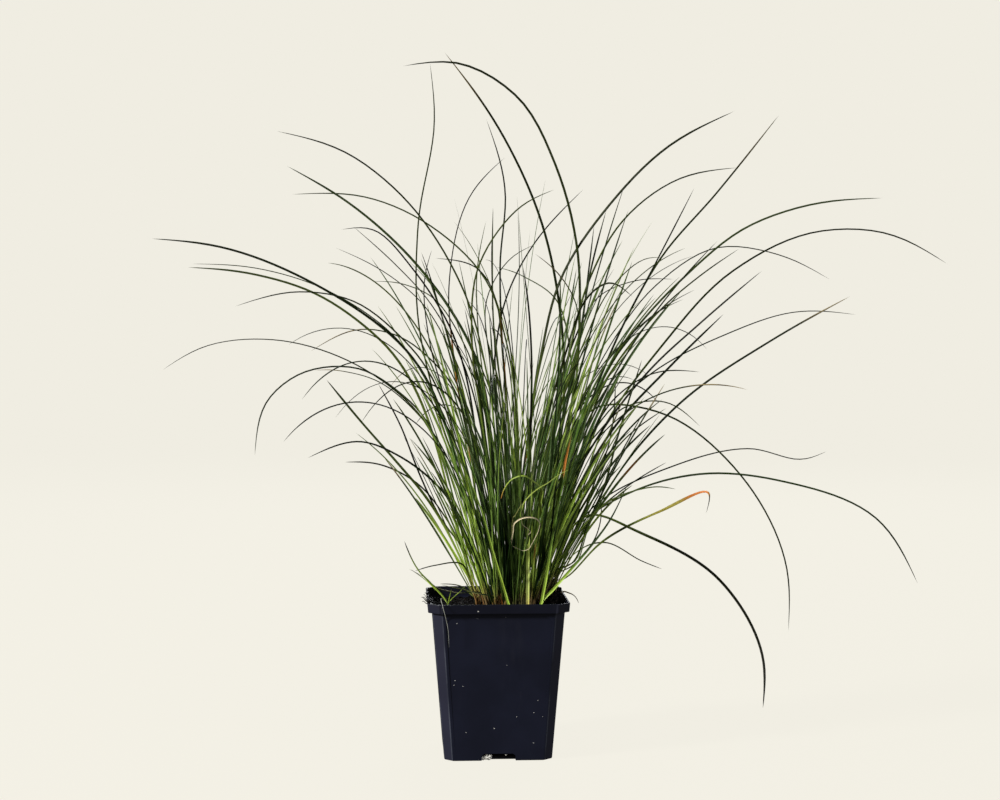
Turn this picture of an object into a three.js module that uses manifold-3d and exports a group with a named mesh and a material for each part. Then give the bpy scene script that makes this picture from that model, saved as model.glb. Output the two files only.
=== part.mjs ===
import * as THREE from "three";
import { mergeVertices } from "three/addons/utils/BufferGeometryUtils.js";
import Module from "manifold-3d";

// A clump of fine-leaved sedge growing in a square nursery pot, in millimetres with +Z up.
// The origin is on the ground under the middle of the pot, and the pot's front faces -Y.

const wasm = await Module();
wasm.setup();

const DEGREE = Math.PI / 180;
const GOLDEN_ANGLE = 137.508 * DEGREE;

// Pot: half widths across the flats, heights above the ground.
const POT_HEIGHT = 100;
const RIM_HALF = 45;
const RIM_BAND = 6.4;
const RIM_DRAFT = 0.4;
const RIM_CHAMFER = 7;
const BODY_TOP_HALF = 41.8;
const BODY_BASE_HALF = 34.2;
const BODY_CHAMFER = 6;
const BASE_CHAMFER = 5;
const WALL = 1.4;
const FLOOR = 1.8;
const SHOULDER = 1.6;
const FOOT_EDGE = 0.8;

// Sunk panel on each side of the pot.
const PANEL_DEPTH = 0.5;
const PANEL_MARGIN = 2.2;
const PANEL_FOOT = 8;
const PANEL_TOP_GAP = 1.6;
const PANEL_CORNER = 5;

// Drain notch in the middle of each bottom edge, and drain holes in the floor.
const NOTCH_HALF = 10.8;
const NOTCH_HEIGHT = 4.6;
const NOTCH_CORNER = 2.6;
const NOTCH_REACH = 5;
const DRAIN_RADIUS = 3;
const DRAIN_OFFSET = 15;

// Gap kept between two pieces that touch.
const SEAT_GAP = 0.3;

// Soil surface.
const SOIL_LEVEL = 93;
const CROWN_RISE = 2.2;
const CROWN_RISE_SPREAD = 24;
const SOIL_RIPPLE = 0.5;
// Waves of the ripple across and deep: turn for each millimetre, and turn at the middle.
const RIPPLE_X = [0.55, 0.9];
const RIPPLE_Y = [0.48, 0.4];
const SOIL_SHOULDER = 3;
const SOIL_SIDES = 24;
const SOIL_RING_SHARES = [1, 0.8, 0.55, 0.28];
// Clods heaped against the right rim: centre x, y, z and half sizes.
const CLODS = [
  [38.2, -17, 98.2, 4.4, 7.5, 5.4],
  [38.6, -4, 99.2, 4.1, 8, 6.2],
  [36.5, 9, 97.2, 6, 7, 5],
];

// Crown of the clump: where the tufts stand in the soil.
const TUFTS = 44;
const CROWN_X = 11;
const CROWN_Y = 1;
const CROWN_HALF_X = 25;
const CROWN_HALF_Y = 27;
const LEAN_LEFT = 0.42;
const LEAN_RIGHT = 0.36;
const LEAN_DEEP = 0.42;
const LEAN_STRAY = 0.15;
const LEAN_POWER = 1.5;
// Sparse tufts in the heaped soil at the right: where they stand, their leans and their short blades.
const OUTLIERS = [
  [36.6, -11, 0.42, -0.1],
  [36.8, 2, 0.46, 0.04],
  [35.5, 14, 0.4, 0.14],
];
const OUTLIER_BLADES = 3;

// Sheathed base of a tuft.
const SHEATH_SIDES = 5;
const SHEATH_RADIUS = 1.9;
const SHEATH_TOP_RADIUS = 1.5;
const SHEATH_HEIGHT = 11;
const SHEATH_RANGE = [0.8, 1.2];
const OUTLIER_SHEATH = 0.7;
const SHEATH_NUDGE = 0.07;
const ROOT_DEPTH = 10;
const HOLE_EXTRA = 0.36;
// The soil is level with its highest point this far round a tuft.
const COLLAR = 4.5;
const COLLAR_POINTS = 8;

// Blades: a keeled three-sided section that narrows to the tip.
const BLADES_PER_TUFT = 5;
// Fewer blades stand at the left of the crown and more right of its middle.
const THIN_LEFT = 2;
const THIN_BELOW = -0.35;
const LOBE_EXTRA = 2;
const LOBE_FROM = 0.15;
const LOBE_UP_TO = 0.7;
const ROOT_OFFSET = 0.9;
const KEEL_SHARE = 0.45;
const KEEL_LEAST = 0.62;
const TRACE_STEPS = 24;
const SLIM_BOW = 55;
const FULL_BOW = 110;
const BLADE_GAP = 0.3;
const GROUND_GAP = 1.5;
const FUSED_LENGTH = 20;
const TRIES = 60;
const TRIES_EACH = 6;
const CROWDING = 3;

// A blade's half width as a share of its greatest: at its foot, its gain upwards and its loss to the tip.
const TAPER_FOOT = 0.72;
const TAPER_GAIN = 1.6;
const TAPER_LOSS = 0.62;
const TAPER_POWER = 1.6;

// Where long and arching blades leave the sheath, as shares of its height, and their greatest roll.
const LEAVE = [0.2, 0.7];
const LONG_ROLL = 40 * DEGREE;

// The long blades are read as seen from the front: across and up, at the pot's middle.
const VIEW_DISTANCE = 1250;
const VIEW_HEIGHT = 246;
const VIEW_LIFT = 1;
const VIEW_SHIFT = 2.6;
const VIEW_TURN = 3 * DEGREE;

// Each long blade: depth of its tip behind the pot's middle, width, and its points from tip to base.
const LONG_BLADES = [
  [-30, 1.8, [170.5, 26], [171, 57], [142.7, 109], [90.8, 139.7], [58, 151]],
  [45, 1.5, [187, 75], [186, 116], [155.6, 177], [103.8, 217], [68, 222]],
  [-65, 1.5, [271, 107], [246.4, 147], [181.6, 173.5], [129.7, 177.7], [77.8, 162.4], [50, 143]],
  [75, 1.3, [212, 191], [196.5, 186], [162, 193], [110, 181], [58, 153]],
  [-45, 1.6, [133.6, 152.7], [135.5, 165.7], [103.8, 154], [64.9, 133], [45.4, 112.5]],
  [100, 1.2, [105, 114], [91, 120], [68, 132], [52, 128]],
  [-30, 1.3, [-55, 115], [-42, 118.4], [-25, 119]],
  [12, 1.2, [-39, 106], [-26, 104.8], [-14, 98]],
  [-40, 1.7, [-226, 330.5], [-180, 324.5], [-120, 300.5], [-65, 262]],
  [30, 1.7, [-202.5, 311], [-160, 306.5], [-120, 294], [-80, 266]],
  [85, 1.3, [-200, 312], [-155, 309], [-113, 296], [-75, 272]],
  [-95, 1.4, [-172, 287.5], [-130, 296.5], [-95, 290], [-60, 262]],
  [60, 1.3, [-219, 243.5], [-190, 259.5], [-145, 263.5], [-92, 247], [-58, 222]],
  [-70, 1.5, [-159, 190], [-150, 226.5], [-130, 242.5], [-92, 246], [-60, 226]],
  [120, 1.3, [-120, 243], [-103, 243], [-78, 236], [-50, 212]],
  [-20, 2, [-112.5, 239], [-92, 214], [-65, 183], [-50, 165]],
  [95, 1.4, [-123, 255.5], [-91, 270], [-65, 265.5], [-40, 246]],
  [-55, 1.5, [-124.5, 189], [-91, 199], [-65, 189], [-39, 168]],
  [45, 1.5, [-100.5, 184.5], [-78, 183], [-52, 169.5], [-36, 150]],
  [15, 1.5, [-79, 236], [-65, 210], [-52, 177], [-42, 155]],
  [-70, 1.7, [-63, 443], [-25, 444], [10, 423.5], [37, 375], [49, 330], [51, 262]],
  [55, 1.7, [-36, 450], [0, 399], [27, 339], [39, 280], [41, 220]],
  [-110, 1.4, [-9, 410], [3, 365], [0, 315], [1, 270], [4.5, 225]],
  [-30, 1.5, [-45.5, 445], [-42.5, 410], [-53, 340], [-53, 277], [-42, 225]],
  [130, 1.4, [3.5, 381], [-20, 355], [-33, 300], [-29, 245]],
  [-150, 1.4, [35.5, 365], [10, 350], [-14, 313], [-18, 262], [-12, 215]],
  [105, 1.4, [54, 360], [20, 322], [3, 287], [-4, 245]],
  [-60, 1.2, [24, 328], [6, 317], [-8, 293], [-6, 245]],
  [-85, 1.5, [-145, 401.5], [-100, 387], [-65, 360], [-22, 293], [-8, 240]],
  [20, 1.8, [-138, 376.5], [-95, 350.5], [-50, 308], [-22, 266]],
  [110, 1.4, [-135, 357], [-85, 355], [-45, 337], [-8, 300], [4, 262]],
  [-130, 1.4, [-103, 338.5], [-80, 336.5], [-57, 312], [-36, 280]],
  [60, 1.4, [-95.5, 337], [-65, 309.5], [-47, 290], [-30, 262]],
  [-45, 1.3, [-106.5, 325], [-75, 309], [-50, 288], [-32, 258]],
  [140, 1.3, [-82.5, 300], [-62, 298.5], [-42, 289], [-24, 262]],
  [-110, 1.3, [-51, 323.5], [-44, 303], [-36, 275], [-26, 235]],
  [75, 1.3, [-44, 322], [-49, 300], [-46, 265], [-34, 220]],
  [-160, 1.3, [-42, 320.5], [-15, 313], [-3, 293], [2, 250]],
  [-35, 1.3, [-9, 342], [-14.5, 312], [-14, 270], [-8, 220]],
  [90, 1.4, [-4.5, 349], [-5, 320], [-4, 270], [2, 220]],
  [-80, 1.5, [15, 313], [18.5, 288], [20.5, 255], [20, 210]],
  [160, 1.3, [-3, 309], [15, 303.5], [37, 288], [46, 250]],
  [-120, 1.4, [23, 322], [40, 306], [50, 286], [48, 240]],
  [-50, 1.6, [152, 413.5], [110, 391], [70, 351], [40, 305], [26, 250]],
  [80, 1.6, [154, 374.5], [115, 367], [80, 341], [57, 300], [44, 250]],
  [35, 1.7, [181, 409.5], [140, 358.5], [105, 318], [82, 278], [62, 232]],
  [-25, 2, [126, 363.5], [100, 313], [80, 275], [62, 232]],
  [-75, 1.6, [248, 357.5], [200, 352.5], [160, 338], [120, 306], [82, 264]],
  [25, 1.6, [290, 313], [250, 333], [205, 334], [150, 308], [104, 259], [70, 212]],
  [95, 1.3, [214, 302], [180, 318.5], [140, 323], [100, 298], [70, 258]],
  [-105, 1.5, [170, 310.5], [130, 276], [98, 246], [68, 208]],
  [55, 1.6, [145, 280], [110, 246], [75, 208], [56, 178]],
  [120, 1.4, [231, 278.5], [190, 280.5], [145, 266], [100, 243], [66, 212]],
  [-60, 1.6, [227, 293.5], [175, 264], [117, 224], [78, 180], [58, 145], [48, 117]],
  [-20, 1.6, [92, 252], [77, 204.5], [66, 165], [55, 139.5], [49, 121.5]],
  [5, 1.5, [75, 240], [69.5, 193], [62, 174], [53.5, 150], [42.5, 124.5]],
  [-35, 1.4, [107, 237], [88.5, 206.5], [71, 175], [58, 148], [46, 119]],
  [20, 1.3, [61, 172], [65.7, 155], [62.7, 138], [47.8, 118.5]],
  [70, 1.4, [155, 322], [130, 305], [105, 284], [74, 246]],
  [-140, 1.4, [141, 331.5], [110, 296], [82, 256], [60, 214]],
  [130, 1.3, [119, 289], [100, 279], [78, 256], [58, 222]],
  [-90, 1.3, [105, 320], [90, 316.5], [70, 296], [54, 262]],
  [150, 1.3, [113, 301], [85, 300], [62, 289], [46, 258]],
  [-130, 1.5, [86, 295], [70, 303], [55, 291], [42, 255]],
  [-40, 2.1, [69, 349], [58, 305], [52, 268], [43, 220]],
  [110, 1.5, [61, 337], [57, 305], [52, 265], [44, 225]],
  [-20, 1.4, [130, 244], [100, 243], [76, 228], [56, 196]],
  [60, 1.3, [130, 208], [107, 224], [84, 222], [60, 200]],
  [-85, 1.4, [108, 221.5], [81, 201], [60, 172], [47, 148]],
  [20, 1.4, [108, 184.5], [84, 170], [60, 150], [46, 130]],
  [-100, 1.3, [114, 169.6], [97, 170], [70, 160], [50, 138]],
];

// How a long blade's path is set in depth: the root's depth as a share of the tip's, its limit, the
// power of the path's way to the tip, and how far the tip is moved on each new try.
const ROOT_SHARE = 0.17;
const ROOT_LIMIT = 22;
const DEPTH_POWER = 1.3;
const SWAY = 5;
const SWAY_GAIN = 0.4;

// How much wider the clump is at a height than at the soil.
const SPREAD_GAIN = 2.3;
const SPREAD_FROM = 95;
const SPREAD_OVER = 190;
const SPREAD_POWER = 0.75;

// Long blades that arch towards the back and the front of the clump: how many, and their ranges.
const ARCHING_BLADES = 28;
const ARCH_LENGTH = [230, 330];
const ARCH_BEND = [55 * DEGREE, 120 * DEGREE];
const ARCH_LEAN = [6 * DEGREE, 16 * DEGREE];
const ARCH_FAN = 45 * DEGREE;
const ARCH_REACH = [0.55, 0.95];
const ARCH_TURN = 0.3;
const ARCH_POWER = 1.5;
const ARCH_WIDTH = [1.4, 1.8];

// Short blades: their ranges, and how much shorter those at the crown's edge are.
const SHORT_LENGTH = [125, 258];
const SHORT_EDGE = [1.05, 0.2];
const SHORT_STRAY = [3 * DEGREE, 13 * DEGREE];
const SHORT_BEND = [8 * DEGREE, 40 * DEGREE];
const SHORT_TURN = 0.5;
const SHORT_POWER = 1.7;
const SHORT_WIDTH = [1.4, 2.1];
const SHORT_ROLL = [45 * DEGREE, 135 * DEGREE];
const SHORT_LEAVE = [0.1, 0.8];
// Blades near the middle and those far out are shorter, and those of the right lobe longer.
const GAP_DEPTH = 0.38;
const GAP_LEAN = 0.02;
const GAP_WIDTH = 0.1;
const FAR_DEPTH = 0.36;
const FAR_LEAN = 0.2;
const FAR_WIDTH = 0.12;
const LOBE_GAIN = 0.16;
const LOBE_LEAN = 0.17;
const LOBE_WIDTH = 0.08;

// Seedling at the left of the clump: its green leaves as the long blades are given, and its dead leaf,
// which hangs over the front rim, by points from base to tip.
const SEEDLING_AT = [-31.5, -24];
const SEEDLING_SHEATH = 6;
const SEEDLING_LEAVES = [
  [-36, 2, [-62, 134.6], [-52, 114.5], [-44, 106]],
  [-18, 1.1, [-58, 116], [-45, 106]],
  [-30, 1.3, [-31, 105], [-32, 101]],
  [-14, 1.1, [-20, 107], [-25.5, 102]],
];
const DEAD_LEAF_WIDTH = 1.3;
const DEAD_LEAF = [
  [-34.5, -34, 101.5],
  [-36.6, -43.5, 103.4],
  [-35.4, -47.9, 98.8],
  [-32.6, -46.9, 87],
  [-31.6, -44.4, 73],
];

// Colours.
const POT_COLOUR = 0x16161c;
const SOIL_COLOUR = 0x1b1512;
const LEAF_COLOURS = [0x4f7a2c, 0x3d6625, 0x6b8f30, 0x2f5120, 0x86a03a];

// Pseudo-random numbers from 0 to 1, the same for the same seed.
function randomFrom(seed) {
  const modulus = 2147483647;
  let state = (seed * 7919 + 104729) % modulus;
  const next = () => {
    state = (state * 48271) % modulus;
    return state / modulus;
  };
  next();
  next();
  return next;
}

const between = (low, high, share) => low + (high - low) * share;

// Joining and cutting.
function solidFrom(geometry) {
  const bare = geometry.clone();
  bare.deleteAttribute("normal");
  bare.deleteAttribute("uv");
  const merged = mergeVertices(bare, 1e-4);
  const mesh = new wasm.Mesh({
    numProp: 3,
    vertProperties: merged.attributes.position.array,
    triVerts: new Uint32Array(merged.index.array),
  });
  return new wasm.Manifold(mesh);
}

function geometryFrom(solid) {
  const mesh = solid.getMesh();
  const geometry = new THREE.BufferGeometry();
  geometry.setAttribute("position", new THREE.BufferAttribute(mesh.vertProperties, 3));
  geometry.setIndex(new THREE.BufferAttribute(mesh.triVerts, 1));
  const flat = geometry.toNonIndexed();
  flat.computeVertexNormals();
  return flat;
}

// A closed skin over rings of equal length. Rings run anticlockwise seen against the way they are stacked.
function loft(rings) {
  const count = rings[0].length;
  const positions = rings.flat(2);
  const index = [];
  for (let ring = 0; ring + 1 < rings.length; ring += 1) {
    for (let i = 0; i < count; i += 1) {
      const here = ring * count + i;
      const next = ring * count + ((i + 1) % count);
      index.push(here, next, here + count, next, next + count, here + count);
    }
  }
  const last = (rings.length - 1) * count;
  for (let i = 1; i + 1 < count; i += 1) {
    index.push(0, i + 1, i);
    index.push(last, last + i, last + i + 1);
  }
  const geometry = new THREE.BufferGeometry();
  geometry.setAttribute("position", new THREE.Float32BufferAttribute(positions, 3));
  geometry.setIndex(index);
  return geometry;
}

// Square outline with cut corners, at one height.
function squareRing(half, chamfer, z) {
  const inner = half - chamfer;
  return [
    [inner, -half, z],
    [half, -inner, z],
    [half, inner, z],
    [inner, half, z],
    [-inner, half, z],
    [-half, inner, z],
    [-half, -inner, z],
    [-inner, -half, z],
  ];
}

// Half width of the pot's outside at a height under the rim band.
const bodyHalf = (z) => between(BODY_BASE_HALF, BODY_TOP_HALF, z / (POT_HEIGHT - RIM_BAND));

function makePot() {
  const bandFoot = POT_HEIGHT - RIM_BAND;
  const shoulderFoot = bandFoot - WALL / 2;
  const rimHalfBelow = RIM_HALF - RIM_DRAFT;
  const shell = solidFrom(
    loft([
      squareRing(BODY_BASE_HALF - FOOT_EDGE, BASE_CHAMFER, 0),
      squareRing(bodyHalf(FOOT_EDGE), BASE_CHAMFER, FOOT_EDGE),
      squareRing(BODY_TOP_HALF, BODY_CHAMFER, bandFoot),
      squareRing(rimHalfBelow - FOOT_EDGE, RIM_CHAMFER, bandFoot + FOOT_EDGE / 2),
      squareRing(rimHalfBelow, RIM_CHAMFER, bandFoot + FOOT_EDGE),
      squareRing(RIM_HALF, RIM_CHAMFER, POT_HEIGHT),
      squareRing(RIM_HALF - WALL, RIM_CHAMFER - WALL / 2, POT_HEIGHT),
      squareRing(rimHalfBelow - WALL, RIM_CHAMFER - WALL / 2, shoulderFoot + SHOULDER),
      squareRing(bodyHalf(shoulderFoot) - WALL, BODY_CHAMFER - WALL / 2, shoulderFoot),
      squareRing(bodyHalf(FLOOR) - WALL, BASE_CHAMFER - WALL / 2, FLOOR),
    ]),
  );
  let pot = shell;
  for (const cutter of [...panelCutters(), ...notchCutters(), ...drainCutters()]) {
    pot = pot.subtract(solidFrom(cutter));
  }
  return geometryFrom(pot);
}

// The plane of the pot's front side: X across, Y up the slope, Z out of the pot.
function sideFrame(turn) {
  const rise = POT_HEIGHT - RIM_BAND;
  const up = new THREE.Vector3(0, BODY_BASE_HALF - BODY_TOP_HALF, rise).normalize();
  const across = new THREE.Vector3(1, 0, 0);
  const out = new THREE.Vector3().crossVectors(across, up);
  const frame = new THREE.Matrix4().makeBasis(across, up, out);
  frame.setPosition(0, -BODY_BASE_HALF, 0);
  return new THREE.Matrix4().makeRotationZ(turn).multiply(frame);
}

function panelCutters() {
  const top = POT_HEIGHT - RIM_BAND - PANEL_TOP_GAP;
  const halfAt = (z) => bodyHalf(z) - between(BASE_CHAMFER, BODY_CHAMFER, z / POT_HEIGHT) - PANEL_MARGIN;
  const shape = new THREE.Shape();
  shape.moveTo(-halfAt(PANEL_FOOT), PANEL_FOOT);
  shape.lineTo(halfAt(PANEL_FOOT), PANEL_FOOT);
  shape.lineTo(halfAt(top - PANEL_CORNER), top - PANEL_CORNER);
  shape.quadraticCurveTo(halfAt(top), top, halfAt(top) - PANEL_CORNER, top);
  shape.lineTo(PANEL_CORNER - halfAt(top), top);
  shape.quadraticCurveTo(-halfAt(top), top, -halfAt(top - PANEL_CORNER), top - PANEL_CORNER);
  shape.closePath();
  const slab = new THREE.ExtrudeGeometry(shape, {
    depth: 3,
    bevelEnabled: false,
    curveSegments: 3,
  });
  slab.translate(0, 0, -PANEL_DEPTH);
  return [0, 1, 2, 3].map((side) => slab.clone().applyMatrix4(sideFrame((side * Math.PI) / 2)));
}

function notchCutters() {
  const shape = new THREE.Shape();
  const shoulder = NOTCH_HEIGHT - NOTCH_CORNER;
  shape.moveTo(-NOTCH_HALF, -2);
  shape.lineTo(NOTCH_HALF, -2);
  shape.lineTo(NOTCH_HALF, shoulder);
  shape.absarc(NOTCH_HALF - NOTCH_CORNER, shoulder, NOTCH_CORNER, 0, Math.PI / 2, false);
  shape.absarc(NOTCH_CORNER - NOTCH_HALF, shoulder, NOTCH_CORNER, Math.PI / 2, Math.PI, false);
  shape.closePath();
  const slab = new THREE.ExtrudeGeometry(shape, {
    depth: NOTCH_REACH + 3,
    bevelEnabled: false,
    curveSegments: 3,
  });
  slab.translate(0, 0, -NOTCH_REACH);
  return [0, 1, 2, 3].map((side) => slab.clone().applyMatrix4(sideFrame((side * Math.PI) / 2)));
}

function drainCutters() {
  return [0, 1, 2, 3].map((corner) => {
    const bit = new THREE.CylinderGeometry(DRAIN_RADIUS, DRAIN_RADIUS, 3 * FLOOR, 8);
    bit.rotateX(Math.PI / 2);
    const angle = (corner + 0.5) * (Math.PI / 2);
    const reach = DRAIN_OFFSET * Math.SQRT2;
    bit.translate(Math.cos(angle) * reach, Math.sin(angle) * reach, FLOOR / 2);
    return bit;
  });
}

// Height of the soil's surface, clods included.
function soilHeight(x, y) {
  let height = baseSoilHeight(x, y);
  for (const [cx, cy, cz, rx, ry, rz] of CLODS) {
    const inside = 1 - ((x - cx) / rx) ** 2 - ((y - cy) / ry) ** 2;
    if (inside > 0) height = Math.max(height, cz + rz * Math.sqrt(inside));
  }
  return height;
}

// Radius of the soil's cut-cornered square outline in one direction.
function outlineRadius(half, chamfer, angle) {
  const c = Math.abs(Math.cos(angle));
  const s = Math.abs(Math.sin(angle));
  return Math.min(half / Math.max(c, s), (2 * half - chamfer) / (c + s));
}

function soilRing(half, chamfer, heightOf) {
  const ring = [];
  for (let i = 0; i < SOIL_SIDES; i += 1) {
    const angle = ((i + 0.5) / SOIL_SIDES) * 2 * Math.PI;
    const radius = outlineRadius(half, chamfer, angle);
    const x = radius * Math.cos(angle);
    const y = radius * Math.sin(angle);
    ring.push([x, y, heightOf(x, y)]);
  }
  return ring;
}

function baseSoilHeight(x, y) {
  const fromCrown = (x - CROWN_X) ** 2 + (y - CROWN_Y) ** 2;
  const rise = CROWN_RISE * Math.exp(-fromCrown / (2 * CROWN_RISE_SPREAD ** 2));
  const ripple = Math.sin(RIPPLE_X[0] * x + RIPPLE_X[1]) * Math.sin(RIPPLE_Y[0] * y + RIPPLE_Y[1]);
  return SOIL_LEVEL + rise + SOIL_RIPPLE * ripple;
}

function makeSoil(stands) {
  const topHalf = bodyHalf(SOIL_LEVEL - SOIL_SHOULDER) - WALL - SEAT_GAP;
  const footHalf = bodyHalf(FLOOR + SEAT_GAP) - WALL - SEAT_GAP;
  const rings = [
    soilRing(footHalf, BASE_CHAMFER, () => FLOOR + SEAT_GAP),
    soilRing(topHalf, BODY_CHAMFER, () => SOIL_LEVEL - SOIL_SHOULDER),
  ];
  for (const share of SOIL_RING_SHARES) {
    rings.push(soilRing(topHalf * share, BODY_CHAMFER * share, baseSoilHeight));
  }
  let soil = solidFrom(loft(rings));
  CLODS.forEach(([x, y, z, rx, ry, rz]) => {
    const clod = new THREE.IcosahedronGeometry(1, 1);
    clod.scale(rx, ry, rz);
    clod.translate(x, y, z);
    soil = soil.add(solidFrom(clod));
  });
  for (const stand of stands) {
    soil = soil.subtract(solidFrom(makeHole(stand)));
  }
  return geometryFrom(soil);
}

function roundRing(centre, radius, turn) {
  const ring = [];
  for (let i = 0; i < SHEATH_SIDES; i += 1) {
    const angle = turn + (i / SHEATH_SIDES) * 2 * Math.PI;
    ring.push([centre[0] + radius * Math.cos(angle), centre[1] + radius * Math.sin(angle), centre[2]]);
  }
  return ring;
}

function makeHole(stand) {
  const radius = SHEATH_RADIUS + HOLE_EXTRA;
  const foot = [stand.x, stand.y, stand.soil - ROOT_DEPTH - SEAT_GAP];
  const mouth = [stand.x, stand.y, stand.soil + ROOT_DEPTH];
  return loft([roundRing(foot, radius, stand.turn), roundRing(mouth, radius, stand.turn)]);
}

// Where a tuft stands, how it leans and how high its sheath reaches.
function makeStand(name, x, y, leanX, leanY, height, turn) {
  let soil = soilHeight(x, y);
  for (let i = 0; i < COLLAR_POINTS; i += 1) {
    const angle = (i / COLLAR_POINTS) * 2 * Math.PI;
    soil = Math.max(soil, soilHeight(x + COLLAR * Math.cos(angle), y + COLLAR * Math.sin(angle)));
  }
  return { name, x, y, soil, leanX, leanY, height, turn, held: 0 };
}

// A point on a tuft's axis, at a height above its soil.
function axisPoint(stand, height) {
  const lean = Math.max(height - 1, 0);
  return [stand.x + stand.leanX * lean, stand.y + stand.leanY * lean, stand.soil + height];
}

// A share of the crown's half width, eased so that more tufts stand upright.
const eased = (share) => Math.sign(share) * Math.abs(share) ** LEAN_POWER;

// How many short blades grow at a place across the crown.
function bladesAt(across) {
  if (across < THIN_BELOW) return BLADES_PER_TUFT - THIN_LEFT;
  return across > LOBE_FROM && across < LOBE_UP_TO ? BLADES_PER_TUFT + LOBE_EXTRA : BLADES_PER_TUFT;
}

function makeStands() {
  const stands = [];
  for (let k = 0; k < TUFTS; k += 1) {
    const random = randomFrom(500 + k);
    const share = Math.sqrt((k + 0.5) / TUFTS);
    const angle = k * GOLDEN_ANGLE;
    const across = share * Math.cos(angle);
    const deep = share * Math.sin(angle);
    const side = across < 0 ? LEAN_LEFT : LEAN_RIGHT;
    const leanX = side * (eased(across) + between(-LEAN_STRAY, LEAN_STRAY, random()));
    const leanY = LEAN_DEEP * (eased(deep) + between(-LEAN_STRAY, LEAN_STRAY, random()));
    const height = SHEATH_HEIGHT * between(...SHEATH_RANGE, random());
    const x = CROWN_X + CROWN_HALF_X * across;
    const y = CROWN_Y + CROWN_HALF_Y * deep;
    const name = `tuft_${String(k + 1).padStart(2, "0")}`;
    stands.push({ ...makeStand(name, x, y, leanX, leanY, height, random()), share, blades: bladesAt(across) });
  }
  OUTLIERS.forEach(([x, y, leanX, leanY], k) => {
    const name = `tuft_${TUFTS + 1 + k}`;
    const stand = makeStand(name, x, y, leanX, leanY, OUTLIER_SHEATH * SHEATH_HEIGHT, k);
    stands.push({ ...stand, share: 1, blades: OUTLIER_BLADES });
  });
  return stands;
}

function makeSeedlingStand() {
  const [x, y] = SEEDLING_AT;
  return makeStand("tuft_seedling", x, y, -0.12, -0.06, SEEDLING_SHEATH, 0.4);
}

function makeSheath(stand, top) {
  const rings = [-ROOT_DEPTH, 1, top].map((height) => {
    const share = Math.max(height, 0) / top;
    const radius = between(SHEATH_RADIUS, SHEATH_TOP_RADIUS, share);
    return roundRing(axisPoint(stand, height), radius, stand.turn);
  });
  return loft(rings);
}

// Vector helpers on plain triples.
const plus = (a, b) => [a[0] + b[0], a[1] + b[1], a[2] + b[2]];
const minus = (a, b) => [a[0] - b[0], a[1] - b[1], a[2] - b[2]];
const times = (a, k) => [a[0] * k, a[1] * k, a[2] * k];
const dot = (a, b) => a[0] * b[0] + a[1] * b[1] + a[2] * b[2];
const cross = (a, b) => [a[1] * b[2] - a[2] * b[1], a[2] * b[0] - a[0] * b[2], a[0] * b[1] - a[1] * b[0]];
const unit = (a) => times(a, 1 / Math.sqrt(dot(a, a)));
const clamp = (value, low, high) => Math.min(Math.max(value, low), high);

// The path of a blade that leaves its sheath at a lean and bends over by a heading.
function archTrace(start, lean, heading, turn, length, bend, power) {
  const points = [start];
  const step = length / TRACE_STEPS;
  for (let i = 0; i < TRACE_STEPS; i += 1) {
    const share = (i + 0.5) / TRACE_STEPS;
    const angle = lean + bend * share ** power;
    const way = heading + turn * share;
    const flat = Math.sin(angle) * step;
    points.push(plus(points[i], [flat * Math.cos(way), flat * Math.sin(way), Math.cos(angle) * step]));
  }
  return points;
}

// A smooth path through a few points, leaving the first along a given direction.
function splineTrace(points, direction) {
  const spans = points.slice(1).map((p, i) => Math.sqrt(dot(minus(p, points[i]), minus(p, points[i]))));
  const slopes = spans.map((span, i) => times(minus(points[i + 1], points[i]), 1 / span));
  const tangents = points.map((p, i) => {
    if (i === 0) return unit(direction);
    if (i < points.length - 1) return tangentAt(slopes, spans, i);
    return minus(times(slopes[i - 1], 1.5), times(tangentAt(slopes, spans, i - 1), 0.5));
  });
  const total = spans.reduce((a, b) => a + b, 0);
  const trace = [];
  for (let i = 0; i <= TRACE_STEPS; i += 1) {
    let at = (total * i) / TRACE_STEPS;
    let piece = 0;
    while (piece + 1 < spans.length && at > spans[piece]) {
      at -= spans[piece];
      piece += 1;
    }
    trace.push(hermite(points, tangents, spans, piece, Math.min(at / spans[piece], 1)));
  }
  return trace;
}

function tangentAt(slopes, spans, i) {
  if (i === 0) return slopes[0];
  const whole = spans[i - 1] + spans[i];
  return plus(times(slopes[i - 1], spans[i] / whole), times(slopes[i], spans[i - 1] / whole));
}

function hermite(points, tangents, spans, piece, u) {
  const span = spans[piece];
  const a = times(points[piece], 2 * u ** 3 - 3 * u ** 2 + 1);
  const b = times(tangents[piece], (u ** 3 - 2 * u ** 2 + u) * span);
  const c = times(points[piece + 1], 3 * u ** 2 - 2 * u ** 3);
  const d = times(tangents[piece + 1], (u ** 3 - u ** 2) * span);
  return plus(plus(a, b), plus(c, d));
}

// A point seen from the front at [across, up], set at a depth behind the pot's middle.
function sighted(seen, depth) {
  const grow = (VIEW_DISTANCE + depth) / VIEW_DISTANCE;
  const across = seen[0] * grow + VIEW_SHIFT;
  const up = VIEW_HEIGHT + VIEW_LIFT + (seen[1] - VIEW_HEIGHT) * grow;
  const c = Math.cos(VIEW_TURN);
  const s = Math.sin(VIEW_TURN);
  return [across * c + depth * s, depth * c - across * s, up];
}

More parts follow.
